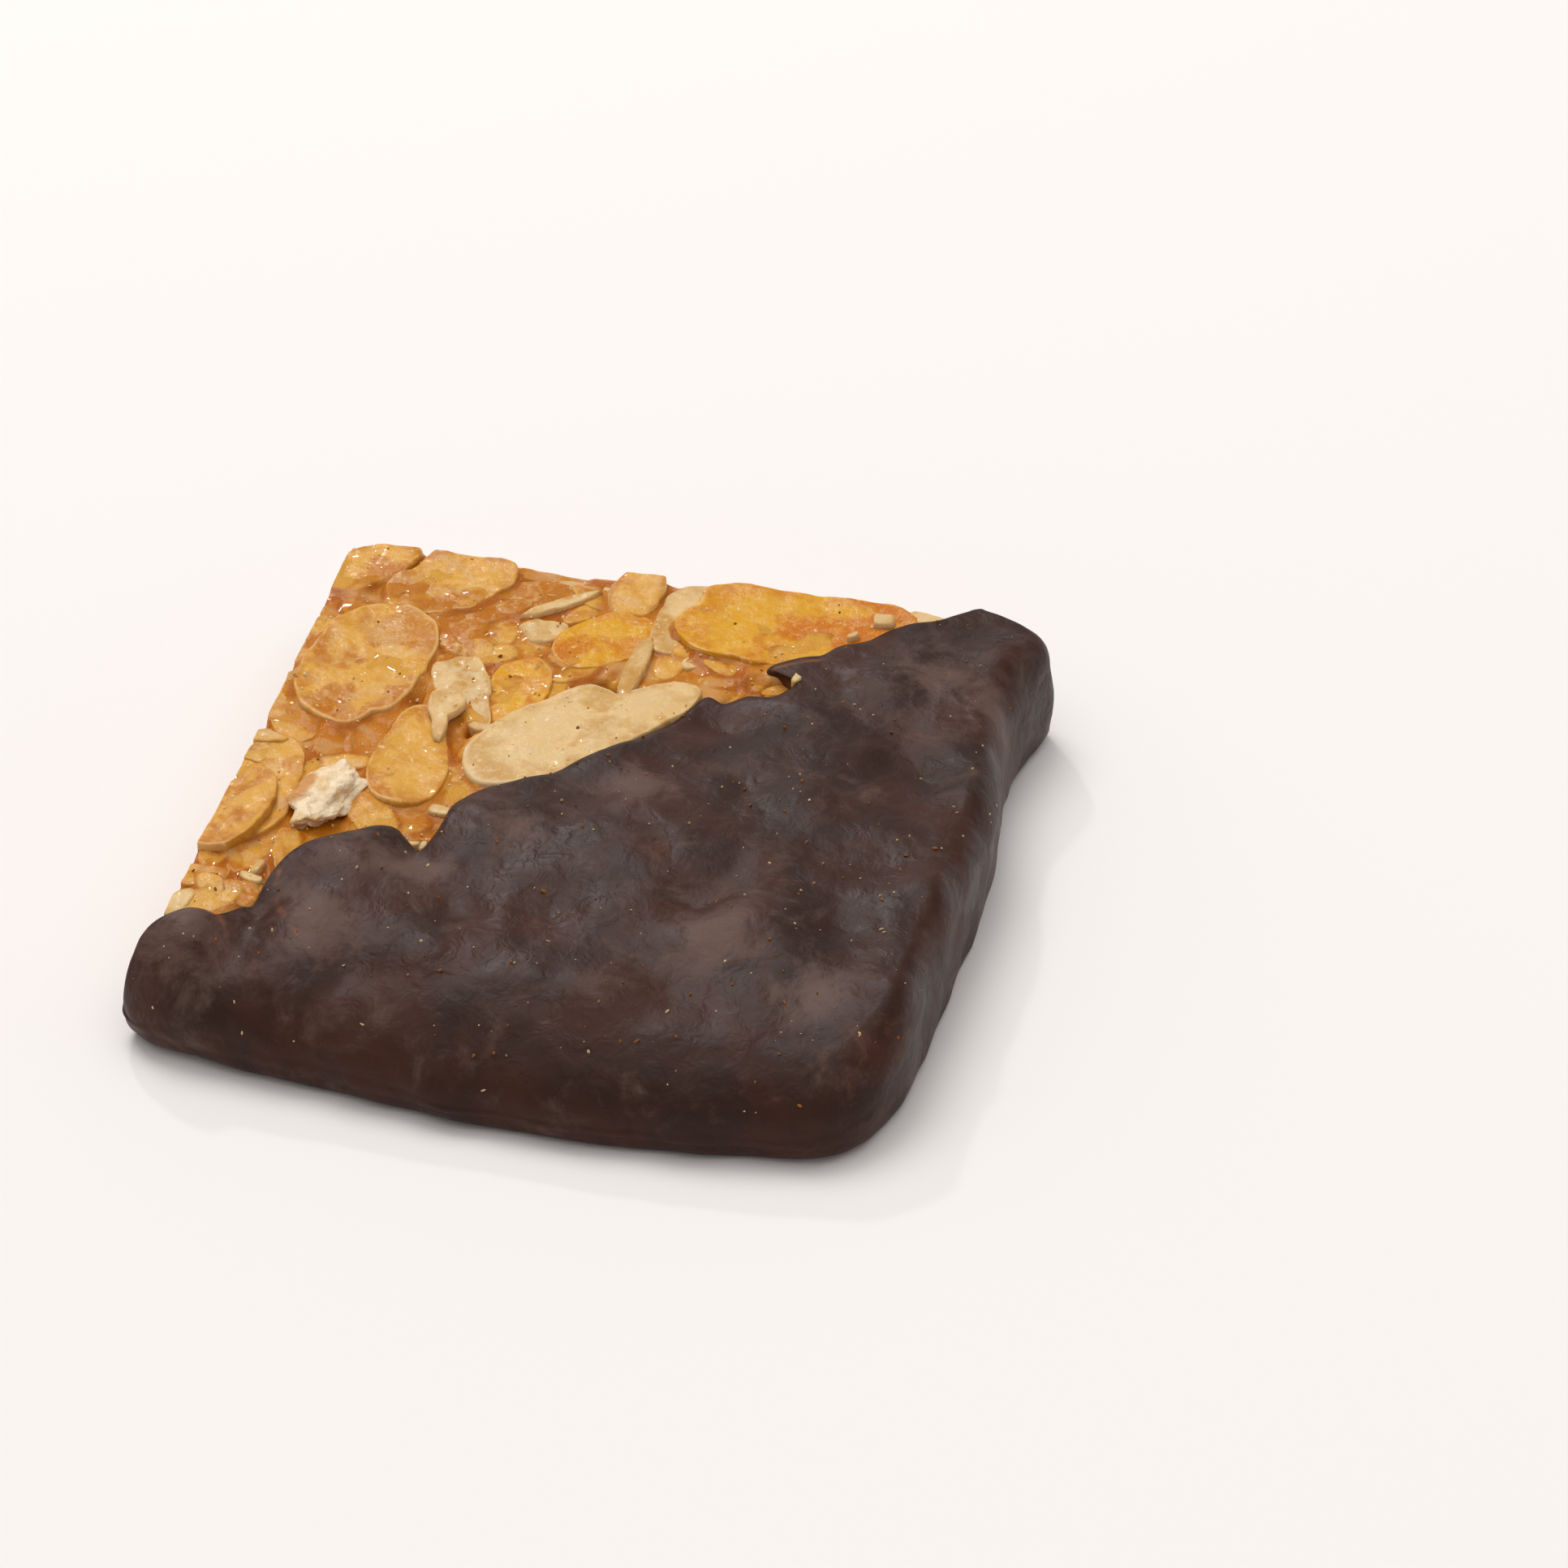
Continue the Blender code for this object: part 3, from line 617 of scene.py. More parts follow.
CARAMEL_STEPS = 190
CARAMEL_WALL_STEPS = 22
CARAMEL_SHRINK = 0.05        # the caramel stands back from the knife cut behind the almonds
CARAMEL_FLOOR = 6.55         # height of the deepest gaps
CLIMB = 0.50                 # how far the caramel sinks away from a flake's rim
POCKET = 1.5                 # and how much farther where it drained away
CLIMB_REACH = 0.70
HIDDEN_TOP = 7.0             # flat below the chocolate
DROWNED_COUNT = 170
DROWNED_FILM = 0.06
CORNER_CUT = 3.0             # the slab's hidden corners stop this far short of its sides
HOLES = [(-2.7, 11.7, 0.75, 3.0), (9.6, 13.7, 0.9, 2.5), (-10.3, -9.2, 0.7, 2.5),
         (-22.9, 15.2, 0.5, 1.5), (-10.2, 4.6, 0.6, 1.5)]
half_side = KNIFE_REACH - CARAMEL_SHRINK
caramel_bottom = float(slab_low.z)


def distance_to_rim(slice_, x, y, count=64):
    """Distance from points to the slice's outline, negative inside it."""
    theta = np.linspace(0.0, 2.0 * math.pi, count, endpoint=False)
    reach = rim_radius(slice_, theta)
    px, py = reach * np.cos(theta), reach * np.sin(theta)
    qx, qy = np.roll(px, -1), np.roll(py, -1)
    along, across = to_slice(slice_, x, y)
    a, b = along[..., None], across[..., None]
    dx, dy = qx - px, qy - py
    t = np.clip(((a - px) * dx + (b - py) * dy) / (dx * dx + dy * dy), 0.0, 1.0)
    gap = np.sqrt((a - px - t * dx) ** 2 + (b - py - t * dy) ** 2).min(axis=-1)
    own = rim_radius(slice_, np.arctan2(across, along))
    return np.where(np.hypot(along, across) < own, -gap, gap)


between = random.Random(11).uniform
DROWNED = [                  # slices below the caramel's surface, which only lift it
    flake(between(-24.0, 20.0), between(-22.0, 24.5), between(1.0, 3.6), between(0.6, 1.7),
          between(0.0, 180.0), between(6.6, 7.5), roll=between(-0.2, 0.2),
          pitch=between(-0.1, 0.1), wobble=0.08, breaks=((between(0.0, 360.0), 1.0),))
    for _ in range(DROWNED_COUNT)]

grid = np.linspace(-half_side, half_side, CARAMEL_STEPS + 1)
plan_x, plan_y = np.meshgrid(grid, grid, indexing="ij")
caramel_z = CARAMEL_FLOOR + 0.30 * waves_over(plan_x, plan_y, 3.0, 2.0)
ripple = 0.10 * waves_over(plan_x, plan_y, 1.9, 4.0)
pockets = CLIMB + POCKET * np.clip(waves_over(plan_x, plan_y, 3.2, 17.0) - 0.05, 0.0, 1.0)
nut_below = np.zeros_like(plan_x)
rim_pool_and_shade = np.zeros_like(plan_x)
film_tone = np.full_like(plan_x, 0.5)
pool_noise = np.clip(0.60 + 0.9 * waves_over(plan_x, plan_y, 2.6, 13.0), 0.0, 1.0)
skyline = np.full_like(plan_x, -1.0)
all_slices = [entry[0] for entry in LARGE_FLAKES.values()] + SMALL_GLAZED + SMALL_PALE
for slice_ in DROWNED + all_slices:
    reach = max(slice_.long, slice_.wide) + 3.5
    near = (np.abs(plan_x - slice_.x) < reach) & (np.abs(plan_y - slice_.y) < reach)
    if not near.any():
        continue
    x, y = plan_x[near], plan_y[near]
    gap = distance_to_rim(slice_, x, y)
    face = face_height(slice_, x, y)
    outside = np.maximum(gap, 0.0)
    if slice_ in DROWNED:
        level = face + DROWNED_FILM - 0.8 * (1.0 - np.exp(-outside / 0.6))
        shows = np.clip(0.3 - gap / 0.3, 0.0, 1.0)
    else:
        level = slice_.top - slice_.wet + ripple[near]
        level -= pockets[near] * (1.0 - np.exp(-outside / CLIMB_REACH))
        level = np.where(gap < 0.0, np.minimum(level, face + 0.10), level)
        shows = np.clip(0.2 - gap / 0.4, 0.0, 1.0)
        # Painted shade: the caramel is darker in a band round each flake's rim, where it also
        # pools thick.
        pool_and_shade = np.exp(-(outside / 0.5) ** 2) * pool_noise[near] * np.clip(gap * 4.0 + 1.0, 0, 1)
        rim_pool_and_shade[near] = np.maximum(rim_pool_and_shade[near], pool_and_shade)
        skyline[near] = np.maximum(skyline[near], np.where(gap < -0.2, face - 0.05, -1.0))
    higher = level > caramel_z[near]
    nut_below[near] = np.where(higher, shows, nut_below[near])
    film_tone[near] = np.where(higher, slice_.tone, film_tone[near])
    caramel_z[near] = np.maximum(caramel_z[near], level)
caramel_z += 0.06 * waves_over(plan_x, plan_y, 1.0, 7.0)
# Each hole is sunk in the caramel and also coloured darker, painted shade in it.
for hole_x, hole_y, radius, depth in HOLES:
    well = np.exp(-(np.hypot(plan_x - hole_x, plan_y - hole_y) / radius) ** 4)
    caramel_z -= depth * well
    rim_pool_and_shade = np.maximum(rim_pool_and_shade, well)
    nut_below *= 1.0 - well

# Flat below the chocolate, where nothing of it shows
coat_side = np.clip((plan_x - plan_y + 1.0) / 3.0, 0.0, 1.0)
hidden = HIDDEN_TOP - 3.6 * np.exp(-((plan_x + 25.0) ** 2 + (plan_y + 25.0) ** 2) / 5.0 ** 2)
hidden -= 0.012 * np.maximum(-11.0 - plan_y, 0.0) ** 2
hidden = np.maximum(hidden, caramel_bottom + 1.0)
caramel_z = caramel_z * (1.0 - coat_side) + np.minimum(caramel_z, hidden) * coat_side


def side_hollows(along, height, seed):
    """How far a cut side's caramel stands back, in millimetres."""
    return (0.22 * np.clip(waves_over(along, height, 2.2, seed) + 0.4, 0.0, 2.0)
            + 0.06 * waves_over(along, height, 0.7, seed + 3.0))


def caramel_body():
    """A closed block: height field above, shallow relief below, and hollowed side walls."""
    build, layers = new_build("amber", "nut", "tone")
    count = CARAMEL_STEPS + 1
    under_z = caramel_bottom + 0.25 * np.abs(waves_over(plan_x, plan_y, 3.4, 21.0))
    under_z = np.where(plan_x - plan_y > -3.0, caramel_bottom, under_z)
    walls_z = np.linspace(0.0, 1.0, CARAMEL_WALL_STEPS + 1)

    def corner(x, y, z, amber, nut, tone=0.5):
        made = build.verts.new(Vector((x, y, z)) * MM)
        for layer, value in zip(layers, (amber, nut, tone)):
            made[layer] = value
        return made

    # Darker amber where the caramel lies low and round the rims: deeper caramel, and painted shade
    # in these gaps.
    depth = np.clip((7.9 - caramel_z) / 1.5, 0.0, 1.0)
    depth = np.maximum(depth, 0.9 * rim_pool_and_shade)
    top, under = {}, {}
    for i in range(count):
        for j in range(count):
            x, y = grid[i], grid[j]
            top[i, j] = corner(
                x, y, caramel_z[i, j], depth[i, j], nut_below[i, j], film_tone[i, j])
            under[i, j] = corner(x, y, under_z[i, j], 0.5, 0.3)
    for i in range(count - 1):
        for j in range(count - 1):
            build.faces.new((top[i, j], top[i + 1, j], top[i + 1, j + 1], top[i, j + 1]))
            build.faces.new((under[i, j], under[i, j + 1], under[i + 1, j + 1], under[i + 1, j]))
    border = ([(i, 0) for i in range(count - 1)]
              + [(count - 1, j) for j in range(count - 1)]
              + [(i, count - 1) for i in range(count - 1, 0, -1)]
              + [(0, j) for j in range(count - 1, 0, -1)])
    columns = []
    for number, (i, j) in enumerate(border):
        x, y = grid[i], grid[j]
        z = under_z[i, j] + (caramel_z[i, j] - under_z[i, j]) * walls_z
        path = np.full_like(z, number * (grid[1] - grid[0]))
        bare = (i == 0) or (j == count - 1)
        inward = bare * side_hollows(path, z, 31.0) * np.sin(math.pi * walls_z) ** 0.5
        out_x = (-1.0 if i == 0 else 1.0 if i == count - 1 else 0.0)
        out_y = (-1.0 if j == 0 else 1.0 if j == count - 1 else 0.0)
        column = [under[i, j]]
        # Hollows in a cut side are coloured darker amber, painted shade in them.
        for step in range(1, CARAMEL_WALL_STEPS):
            column.append(corner(
                x - out_x * inward[step], y - out_y * inward[step], z[step],
                min(1.0, 0.35 + 1.3 * inward[step]), 0.0))
        column.append(top[i, j])
        columns.append(column)
    for first, second in zip(columns, columns[1:] + columns[:1]):
        for step in range(CARAMEL_WALL_STEPS):
            build.faces.new((first[step], second[step], second[step + 1], first[step + 1]))
    corner_place = half_side - CORNER_CUT
    knife(build, [((sx * corner_place, sy * corner_place, 0), (sx, sy, 0))
                  for sx, sy in ((-1, -1), (1, -1), (1, 1))])
    return build


def amber_finish():
    """Amber caramel: milky where it is thick, darker in its gaps, round the rims and in its
    hollows, partly painted shade, almonds showing through.
    """
    material, tree, shader = new_material("amber_caramel")
    film, streaks = film_over(tree, 420.0, 9.0)
    cloud, _ = film_over(tree, 280.0, 19.0)
    colour = mix(tree, film, (0.56, 0.225, 0.028), (0.49, 0.150, 0.003))
    colour = mix(tree, stretch(tree, cloud, 0.45, 1.0, 0.0, 0.8), colour, (0.56, 0.285, 0.090))
    # Darker amber where the caramel lies deep and round the rims: partly the caramel, partly
    # painted shade.
    colour = mix(tree, stretch(tree, read(tree, "amber"), 0.15, 0.75), colour,
                 (0.40, 0.105, 0.001))
    almond_film, _ = film_over(tree, 230.0, 1.0)
    almond = mix(tree, glaze_share(tree, almond_film), (0.63, 0.305, 0.038),
                 (0.46, 0.145, 0.004))
    colour = speckle(tree, colour, read(tree, "nut"), 0.92, almond)
    bubbles = flecks_over(tree, 800.0, 0.30, 5.0)
    colour = speckle(tree, colour, bubbles, 0.35, (0.75, 0.50, 0.26))
    fill(tree, shader, {
        "Base Color": colour, "Roughness": stretch(tree, streaks, 0.0, 1.0, 0.10, 0.28),
        "Specular IOR Level": 0.08, "Coat Weight": 0.20, "Coat Roughness": 0.06,
        "Subsurface Weight": 0.12, "Subsurface Radius": (1.0, 0.4, 0.1),
        "Subsurface Scale": 0.0015})
    relief(tree, shader, maths(tree, "ADD", streaks, bubbles), 0.4, 0.00012)
    return material


caramel = new_object("caramel", finish_mesh(caramel_body(), "caramel", amber_finish(), 70.0))
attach(caramel, "root")
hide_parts("caramel_slab")


# --- Almonds in the cut sides ---------------------------------------------------------------
# The knife went through caramel and almonds alike, so each bare side shows slices end on:
# thin pale lines and lenses, one over another, tilted a little either way.

SIDE_FLAKES = 92


def side_slices(seed, low, high, coated_end, place):
    """Slices strewn along one cut side; place turns (along, inward) into plan x, y."""
    draw = random.Random(seed)
    slices = []
    for number in range(SIDE_FLAKES):
        along = low + (high - low) * (number + draw.random()) / SIDE_FLAKES
        x, y = place(along, draw.uniform(0.0, 2.0))
        long = min(draw.uniform(1.0, 4.2), 0.7 + abs(along - coated_end))
        slices.append(flake(
            x, y, long, draw.uniform(0.8, 2.6), draw.uniform(0.0, 180.0),
            draw.uniform(1.9, 7.0), pitch=draw.gauss(0.0, 0.22), roll=draw.gauss(0.0, 0.22),
            bow=draw.uniform(-0.5, 0.5), wobble=0.08, tone=draw.uniform(-0.2, 0.9),
            milk=draw.uniform(0.0, 1.0), thick=draw.uniform(0.45, 1.15), seed=seed + number,
            breaks=((draw.uniform(0.0, 360.0), 0.8 * long),)))
    return slices


strewn = side_slices(
    101, -18.3, 25.0, -18.3, lambda along, inward: (-KNIFE_REACH + inward, along))
strewn += side_slices(
    202, -25.0, 18.0, 18.0, lambda along, inward: (along, KNIFE_REACH - inward))
for name, share, finish, slot in (
        ("side_pale_flakes", strewn[::2], ALMOND_PALE, "almond_pale"),
        ("side_glazed_flakes", strewn[1::2], ALMOND_GLAZED, "almond")):
    piece = slices_object(name, share, finish)
    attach(piece, "root")


# --- Nut crumb ------------------------------------------------------------------------------
# A torn lump of blanched almond that sat on top while the caramel set. Its broken faces are
# dry and nearly white, with one toasted spot.

crumb_low, crumb_high = (Vector(corner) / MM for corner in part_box("nut_crumb"))
CRUMB_PLACE = (-17.8, -5.3, (crumb_low.z + crumb_high.z) / 2)
CRUMB_HALF = (3.6, 1.95, 1.35)
CRUMB_HEADING = 76.0
TOASTED = Vector((-0.25, 0.85, 0.45))
crumb_build, (toast_layer,) = new_build("toast")
bmesh.ops.create_icosphere(crumb_build, subdivisions=6, radius=1.0)
for vert in crumb_build.verts:
    way = vert.co.copy()
    lump = 1.0 + 0.34 * noise.noise(way * 1.5) + 0.16 * noise.noise(way * 3.0)
    chips = 0.05 * noise.noise(way * 6.5) + abs(noise.noise(way * 12.0)) * 0.03
    vert.co = Vector(c * s for c, s in zip(way, CRUMB_HALF)) * (lump - chips)
    vert[toast_layer] = math.exp(-((way - TOASTED) / 0.55).length_squared)
crumb_turn = Matrix.Rotation(math.radians(CRUMB_HEADING), 4, "Z")
bmesh.ops.transform(
    crumb_build, verts=crumb_build.verts,
    matrix=Matrix.Scale(MM, 4) @ Matrix.Translation(CRUMB_PLACE) @ crumb_turn)
crumb_finish, crumb_tree, crumb_shader = new_material("torn_almond")
crumb_film, crumb_grain = film_over(crumb_tree, 650.0, 14.0)
crumb_colour = mix(crumb_tree, stretch(crumb_tree, crumb_film, 0.2, 0.9), (0.86, 0.68, 0.45),
                   (0.80, 0.55, 0.28))
crumb_colour = mix(crumb_tree, stretch(crumb_tree, read(crumb_tree, "toast"), 0.25, 0.6),
                   crumb_colour, (0.60, 0.27, 0.07))
fill(crumb_tree, crumb_shader, {"Base Color": crumb_colour, "Roughness": 0.6})
relief(crumb_tree, crumb_shader, crumb_grain, 0.5, 0.00015)
crumb = new_object("torn_crumb", finish_mesh(crumb_build, "torn_crumb", crumb_finish, 40.0))
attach(crumb, "root")
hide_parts("nut_crumb")


# --- Chocolate coat -------------------------------------------------------------------------
# Dark chocolate, dipped on the slant and set on a sheet: a skin over the nuts on top, thicker
# round the foot, with a rounded lip where it ends. Its surface follows the lumps below and
# has dulled a little where it was handled; paler patches on the domes that face the lamp are
# painted highlight.

TIDE_LINE = [
    (-25.5, -22.6), (-24.8, -21.4), (-22.8, -19.9), (-20.6, -19.9), (-19.6, -18.0),
    (-18.6, -17.4), (-18.6, -14.6), (-17.4, -11.9), (-14.8, -9.6), (-12.4, -8.5),
    (-10.9, -9.6), (-10.0, -10.2), (-9.3, -8.2), (-8.9, -5.6), (-8.2, -4.0), (-7.2, -2.4),
    (-5.2, -1.0), (-3.2, 0.2), (-0.6, 2.9), (2.2, 6.3), (4.0, 9.9), (4.9, 11.6),
    (6.2, 11.2), (7.6, 12.3), (9.6, 12.2), (10.6, 13.6), (9.9, 14.6), (8.4, 15.3),
    (9.0, 16.4), (11.4, 17.4), (12.6, 18.8), (14.4, 20.2), (16.2, 22.4), (18.2, 23.4),
    (20.6, 25.5),
]
OUTSIDE = [
    (-26.1, -22.9, 0.8, 2.4, 1.2), (-26.9, -24.5, 2.6, 2.4, 1.8),
    (-25.0, -26.0, 3.2, 2.3, 1.9), (-21.4, -26.7, 4.0, 2.9, 1.9),
    (-16.4, -27.6, 4.4, 2.9, 1.7), (-10.5, -28.2, 4.8, 3.0, 1.6), (-5.0, -28.9, 5.2, 3.1, 1.5),
    (1.0, -29.4, 5.4, 3.1, 1.5), (8.0, -29.4, 5.2, 3.1, 1.5),
    (15.5, -28.8, 5.0, 3.1, 1.5), (22.6, -27.3, 4.0, 3.3, 1.6),
    (25.8, -22.0, 3.0, 3.6, 1.5), (26.5, -13.0, 2.8, 3.4, 1.2),
    (27.0, -4.0, 2.7, 3.2, 1.0), (27.2, 4.5, 2.6, 3.2, 1.0),
    (26.1, 13.2, 2.4, 3.4, 1.0), (26.6, 19.2, 2.2, 2.9, 1.0),
    (27.4, 23.8, 1.7, 2.3, 1.1), (22.4, 25.9, 0.8, 1.4, 0.9),
]
MOUNDS = [
    (-27.4, -26.8, -3.0, 3.2), (-22.8, -22.6, 1.6, 2.6), (-14.5, -12.8, 0.95, 3.6),
    (-5.8, -6.5, 0.70, 3.4), (-0.5, 3.6, 0.45, 3.0), (5.5, -7.0, 1.00, 5.4),
    (15.0, 0.5, 0.65, 4.4), (17.0, 15.5, 0.65, 4.6), (14.5, -14.0, 0.65, 4.2),
    (-14.5, -21.0, 0.70, 3.2), (-7.5, -20.5, 0.60, 3.2), (-1.5, -21.5, 0.70, 3.0),
    (5.5, -22.0, 0.65, 3.0), (24.8, 20.5, 0.60, 2.4), (25.4, -8.0, 0.55, 2.2),
    (25.2, 4.0, 0.40, 3.0), (24.3, -18.5, 0.55, 2.6), (-18.8, -18.8, -0.95, 1.5),
    (-10.4, -11.6, -1.00, 1.9), (6.5, 8.5, -0.80, 3.2), (9.5, -12.0, -0.60, 3.0),
    (-11.5, -23.5, -0.60, 2.4), (-6.0, -15.5, -0.70, 3.2), (21.5, 4.5, -0.70, 3.2),
    (20.5, -13.0, -0.65, 3.2), (0.5, -15.5, -0.45, 3.0), (10.5, -21.0, -0.40, 2.6),
    (-19.5, -23.0, -0.70, 2.0), (12.0, 7.0, 0.40, 2.6), (19.5, 10.0, -0.40, 2.4),
]
# Pale patches, x, y and radius: partly a dull bloom, partly painted highlight on the lumps that
# face the lamp.
BLOOM_AND_HIGHLIGHT_PATCHES = [
    (-22.8, -22.8, 3.2), (-14.8, -19.8, 3.4), (-14.0, -12.0, 2.2), (-9.5, -13.0, 2.4),
    (-3.0, -8.5, 2.4), (12.0, -16.5, 3.4), (20.0, -20.0, 2.6), (20.5, 16.0, 3.0),
    (3.0, -1.0, 2.4), (24.8, 14.0, 2.0),
]
RUST_PATCHES = [
    (5.5, -6.5, 3.6), (15.5, -9.5, 2.6), (11.5, 3.0, 3.0), (25.8, -14.0, 2.2),
    (26.0, -21.0, 2.4), (-24.5, -23.8, 1.0), (10.6, 16.6, 1.6), (22.0, -24.0, 2.0),
    (17.5, -17.5, 2.0),
]
FILM_LINES = [              # where the chocolate ran out thin, over the nuts
    [(-23.6, -20.3), (-22.3, -20.1), (-21.2, -20.4), (-20.4, -21.3)],
    [(-18.3, -15.4), (-18.2, -17.0), (-17.6, -18.4), (-16.5, -20.1), (-15.3, -21.2)],
    [(8.4, 15.7), (10.0, 16.8), (11.8, 17.6), (13.2, 18.2)],
    [(9.0, 15.2), (10.6, 16.0), (12.4, 16.8)],
    [(-17.2, -11.9), (-15.4, -10.2), (-13.2, -9.0)],
]
COAT_TOP = 8.75
FRONT_BEND = 0.0105          # how strongly the top bends down towards the front
LIP_RISE = 0.75
LIP_WIDTH = 1.3
FRINGE = (0.75, 0.70, 0.60, 0.45, 0.30, 0.15, 0.05)    # how thin the lip is, from its edge
SHELL_UNDER = 6.2            # the lip's inner side is bedded in the caramel
COAT_SECTIONS = 300


def spline(stations, t):
    """The Catmull-Rom curve through the stations, at every t from 0 to 1."""
    stations = np.array(stations)
    spans = len(stations) - 1
    span = np.minimum((t * spans).astype(int), spans - 1)
    s = (t * spans - span)[:, None]
    a, b, c, d = (stations[np.clip(span + shift, 0, spans)] for shift in (-1, 0, 1, 2))
    return 0.5 * (2.0 * b + (c - a) * s + (2.0 * a - 5.0 * b + 4.0 * c - d) * s ** 2
                  + (3.0 * b - a - 3.0 * c + d) * s ** 3)


def quarter_round(distance, width):
    """0 at the edge, rising along a quarter circle to 1 at the given width."""
    inner = np.clip(1.0 - distance / np.maximum(width, 1e-6), 0.0, 1.0)
    return np.sqrt(1.0 - inner ** 2)


def coat_height(x, y):
    """The chocolate's upper face before its edges are rounded over."""
    z = np.full_like(x, COAT_TOP)
    for mound_x, mound_y, height, radius in MOUNDS:
        z += height * np.exp(-((x - mound_x) ** 2 + (y - mound_y) ** 2) / radius ** 2)
    z -= FRONT_BEND * np.maximum(-11.0 - y, 0.0) ** 2
    z += 0.22 * waves_over(x, y, 4.2, 50.0) + 0.07 * waves_over(x, y, 2.0, 51.0)
    return z + 0.02 * waves_over(x, y, 0.8, 52.0)


def arc_steps(count):
    """Shares of a quarter circle's width that divide the arc itself evenly, from its edge."""
    return 1.0 - np.cos(np.linspace(0.0, math.pi / 2.0, count))


def coat_shell():
    """Closed C-shaped sections from the left tip to the back tip, skinned into one shell."""
    along = np.linspace(0.0, 1.0, COAT_SECTIONS)
    edge = spline(TIDE_LINE, along)
    side = spline(OUTSIDE, along)
    side_x, side_y, shoulder, fall, foot = side.T
    reach = np.hypot(side_x - edge[:, 0], side_y - edge[:, 1])
    out_x, out_y = (side_x - edge[:, 0]) / reach, (side_y - edge[:, 1]) / reach
    lip = LIP_WIDTH * (1.0 + 0.3 * waves_over(edge[:, 0], edge[:, 1], 3.0, 60.0))
    rise = LIP_RISE * (1.0 + 0.5 * waves_over(edge[:, 0], edge[:, 1], 4.0, 61.0))
    squeeze = np.minimum(1.0, 0.95 * reach / (lip + shoulder))
    lip, shoulder = lip * squeeze, shoulder * squeeze

    def on_plan(away):
        """Plan points at a distance from the tide line, towards the outside."""
        return edge[:, :1] + out_x[:, None] * away, edge[:, 1:2] + out_y[:, None] * away

    def roughened(x, y, z, amount):
        """Pushes the outer side in and out a little, most at the foot and the shoulder."""
        push = 0.24 * waves_over(x + 0.7 * z, y - 0.7 * z, 4.4, 70.0)
        push += 0.06 * waves_over(x + 0.9 * z, y + 0.9 * z, 1.6, 71.0)
        return x + out_x[:, None] * push * amount, y + out_y[:, None] * push * amount, z

    lip_away = arc_steps(9)[None, :] * lip[:, None]
    middle_share = np.linspace(0.0, 1.0, 92)[None, 1:-1]
    middle_away = lip[:, None] + (reach - shoulder - lip)[:, None] * middle_share
    side_away = reach[:, None] - arc_steps(30)[None, ::-1] * shoulder[:, None]
    away = np.concatenate([lip_away, middle_away, side_away], axis=1)
    x, y = on_plan(away)
    top = coat_height(x, y)
    top -= fall[:, None] * (1.0 - quarter_round(reach[:, None] - away, shoulder[:, None]))
    top -= rise[:, None] * (1.0 - quarter_round(away, lip[:, None]))
    top = np.maximum(top, foot[:, None] + 0.3)
    near_side = np.clip(1.0 - (reach[:, None] - away) / shoulder[:, None], 0.0, 1.0)
    rows = [roughened(x, y, top, near_side)]

    wall = np.linspace(0.0, 1.0, 10)[None, 1:-1]
    wall_z = top[:, -1:] + (foot[:, None] - top[:, -1:]) * wall
    bulge = 0.12 * np.sin(math.pi * wall) + 0.0 * wall_z
    wall_x, wall_y = on_plan(reach[:, None] + bulge)
    rows.append(roughened(wall_x, wall_y, wall_z, 1.0))

    under_away = reach[:, None] - arc_steps(12)[None, :] * foot[:, None] * squeeze[:, None]
    far_share = np.linspace(0.0, 1.0, 26)[None, 1:]
    far_away = under_away[:, -1:] * (1.0 - far_share)
    away = np.concatenate([under_away, far_away], axis=1)
    x, y = on_plan(away)
    depth = (foot * squeeze)[:, None]
    low = foot[:, None] * (1.0 - quarter_round(reach[:, None] - away, depth))
    low += 0.45 * (1.0 - quarter_round(away, 0.5))
    near_side = np.clip(1.0 - (reach[:, None] - away) / depth, 0.0, 1.0)
    rows.append(roughened(x, y, low, near_side))

    # The inner side: over the slab's underside, up its walls and back below the lip
    slab_share = np.array([slab_exit(*ends) for ends in zip(*edge.T, side_x, side_y)])
    x, y = on_plan(np.linspace(0.0, 1.0, 14)[None, :] * (slab_share * reach)[:, None])
    rows.append((x, y, 0.0 * x + caramel_bottom + 0.15))
    roof = np.minimum(SHELL_UNDER, coat_height(x, y) - 2.2)
    rows.append((x[:, ::-1], y[:, ::-1], roof[:, ::-1]))
    return [np.concatenate(parts, axis=1) for parts in zip(*rows)]


def slab_exit(edge_x, edge_y, side_x, side_y):
    """How far from the tide line to the outside the slab reaches, as a share of the way."""
    steps = np.linspace(0.0, 1.0, 200)
    x = edge_x + (side_x - edge_x) * steps
    y = edge_y + (side_y - edge_y) * steps
    inside = (np.abs(x) < half_side) & (np.abs(y) < half_side)
    inside &= (np.abs(x) + np.abs(y) < 2.0 * (half_side - CORNER_CUT))
    return steps[inside].max() if inside.any() else 0.002


def spots(x, y, places):
    """Soft round patches over the plan, each given as x, y and radius."""
    total = np.zeros_like(x)
    for spot_x, spot_y, radius in places:
        total += np.exp(-((x - spot_x) ** 2 + (y - spot_y) ** 2) / radius ** 2)
    return np.clip(total, 0.0, 1.0)


def strokes(x, y, lines, width):
    """Thin lines over the plan, each through a few points."""
    total = np.zeros_like(x)
    for line in lines:
        for (ax, ay), (bx, by) in zip(line, line[1:]):
            span = (bx - ax) ** 2 + (by - ay) ** 2
            t = np.clip(((x - ax) * (bx - ax) + (y - ay) * (by - ay)) / span, 0.0, 1.0)
            gap = np.hypot(x - ax - t * (bx - ax), y - ay - t * (by - ay))
            total = np.maximum(total, np.exp(-(gap / width) ** 2))
    return total


def add_attribute(mesh, name, values):
    layer = mesh.attributes.new(name, "FLOAT", "POINT")
    layer.data.foreach_set("value", np.ravel(values).astype(np.float32))


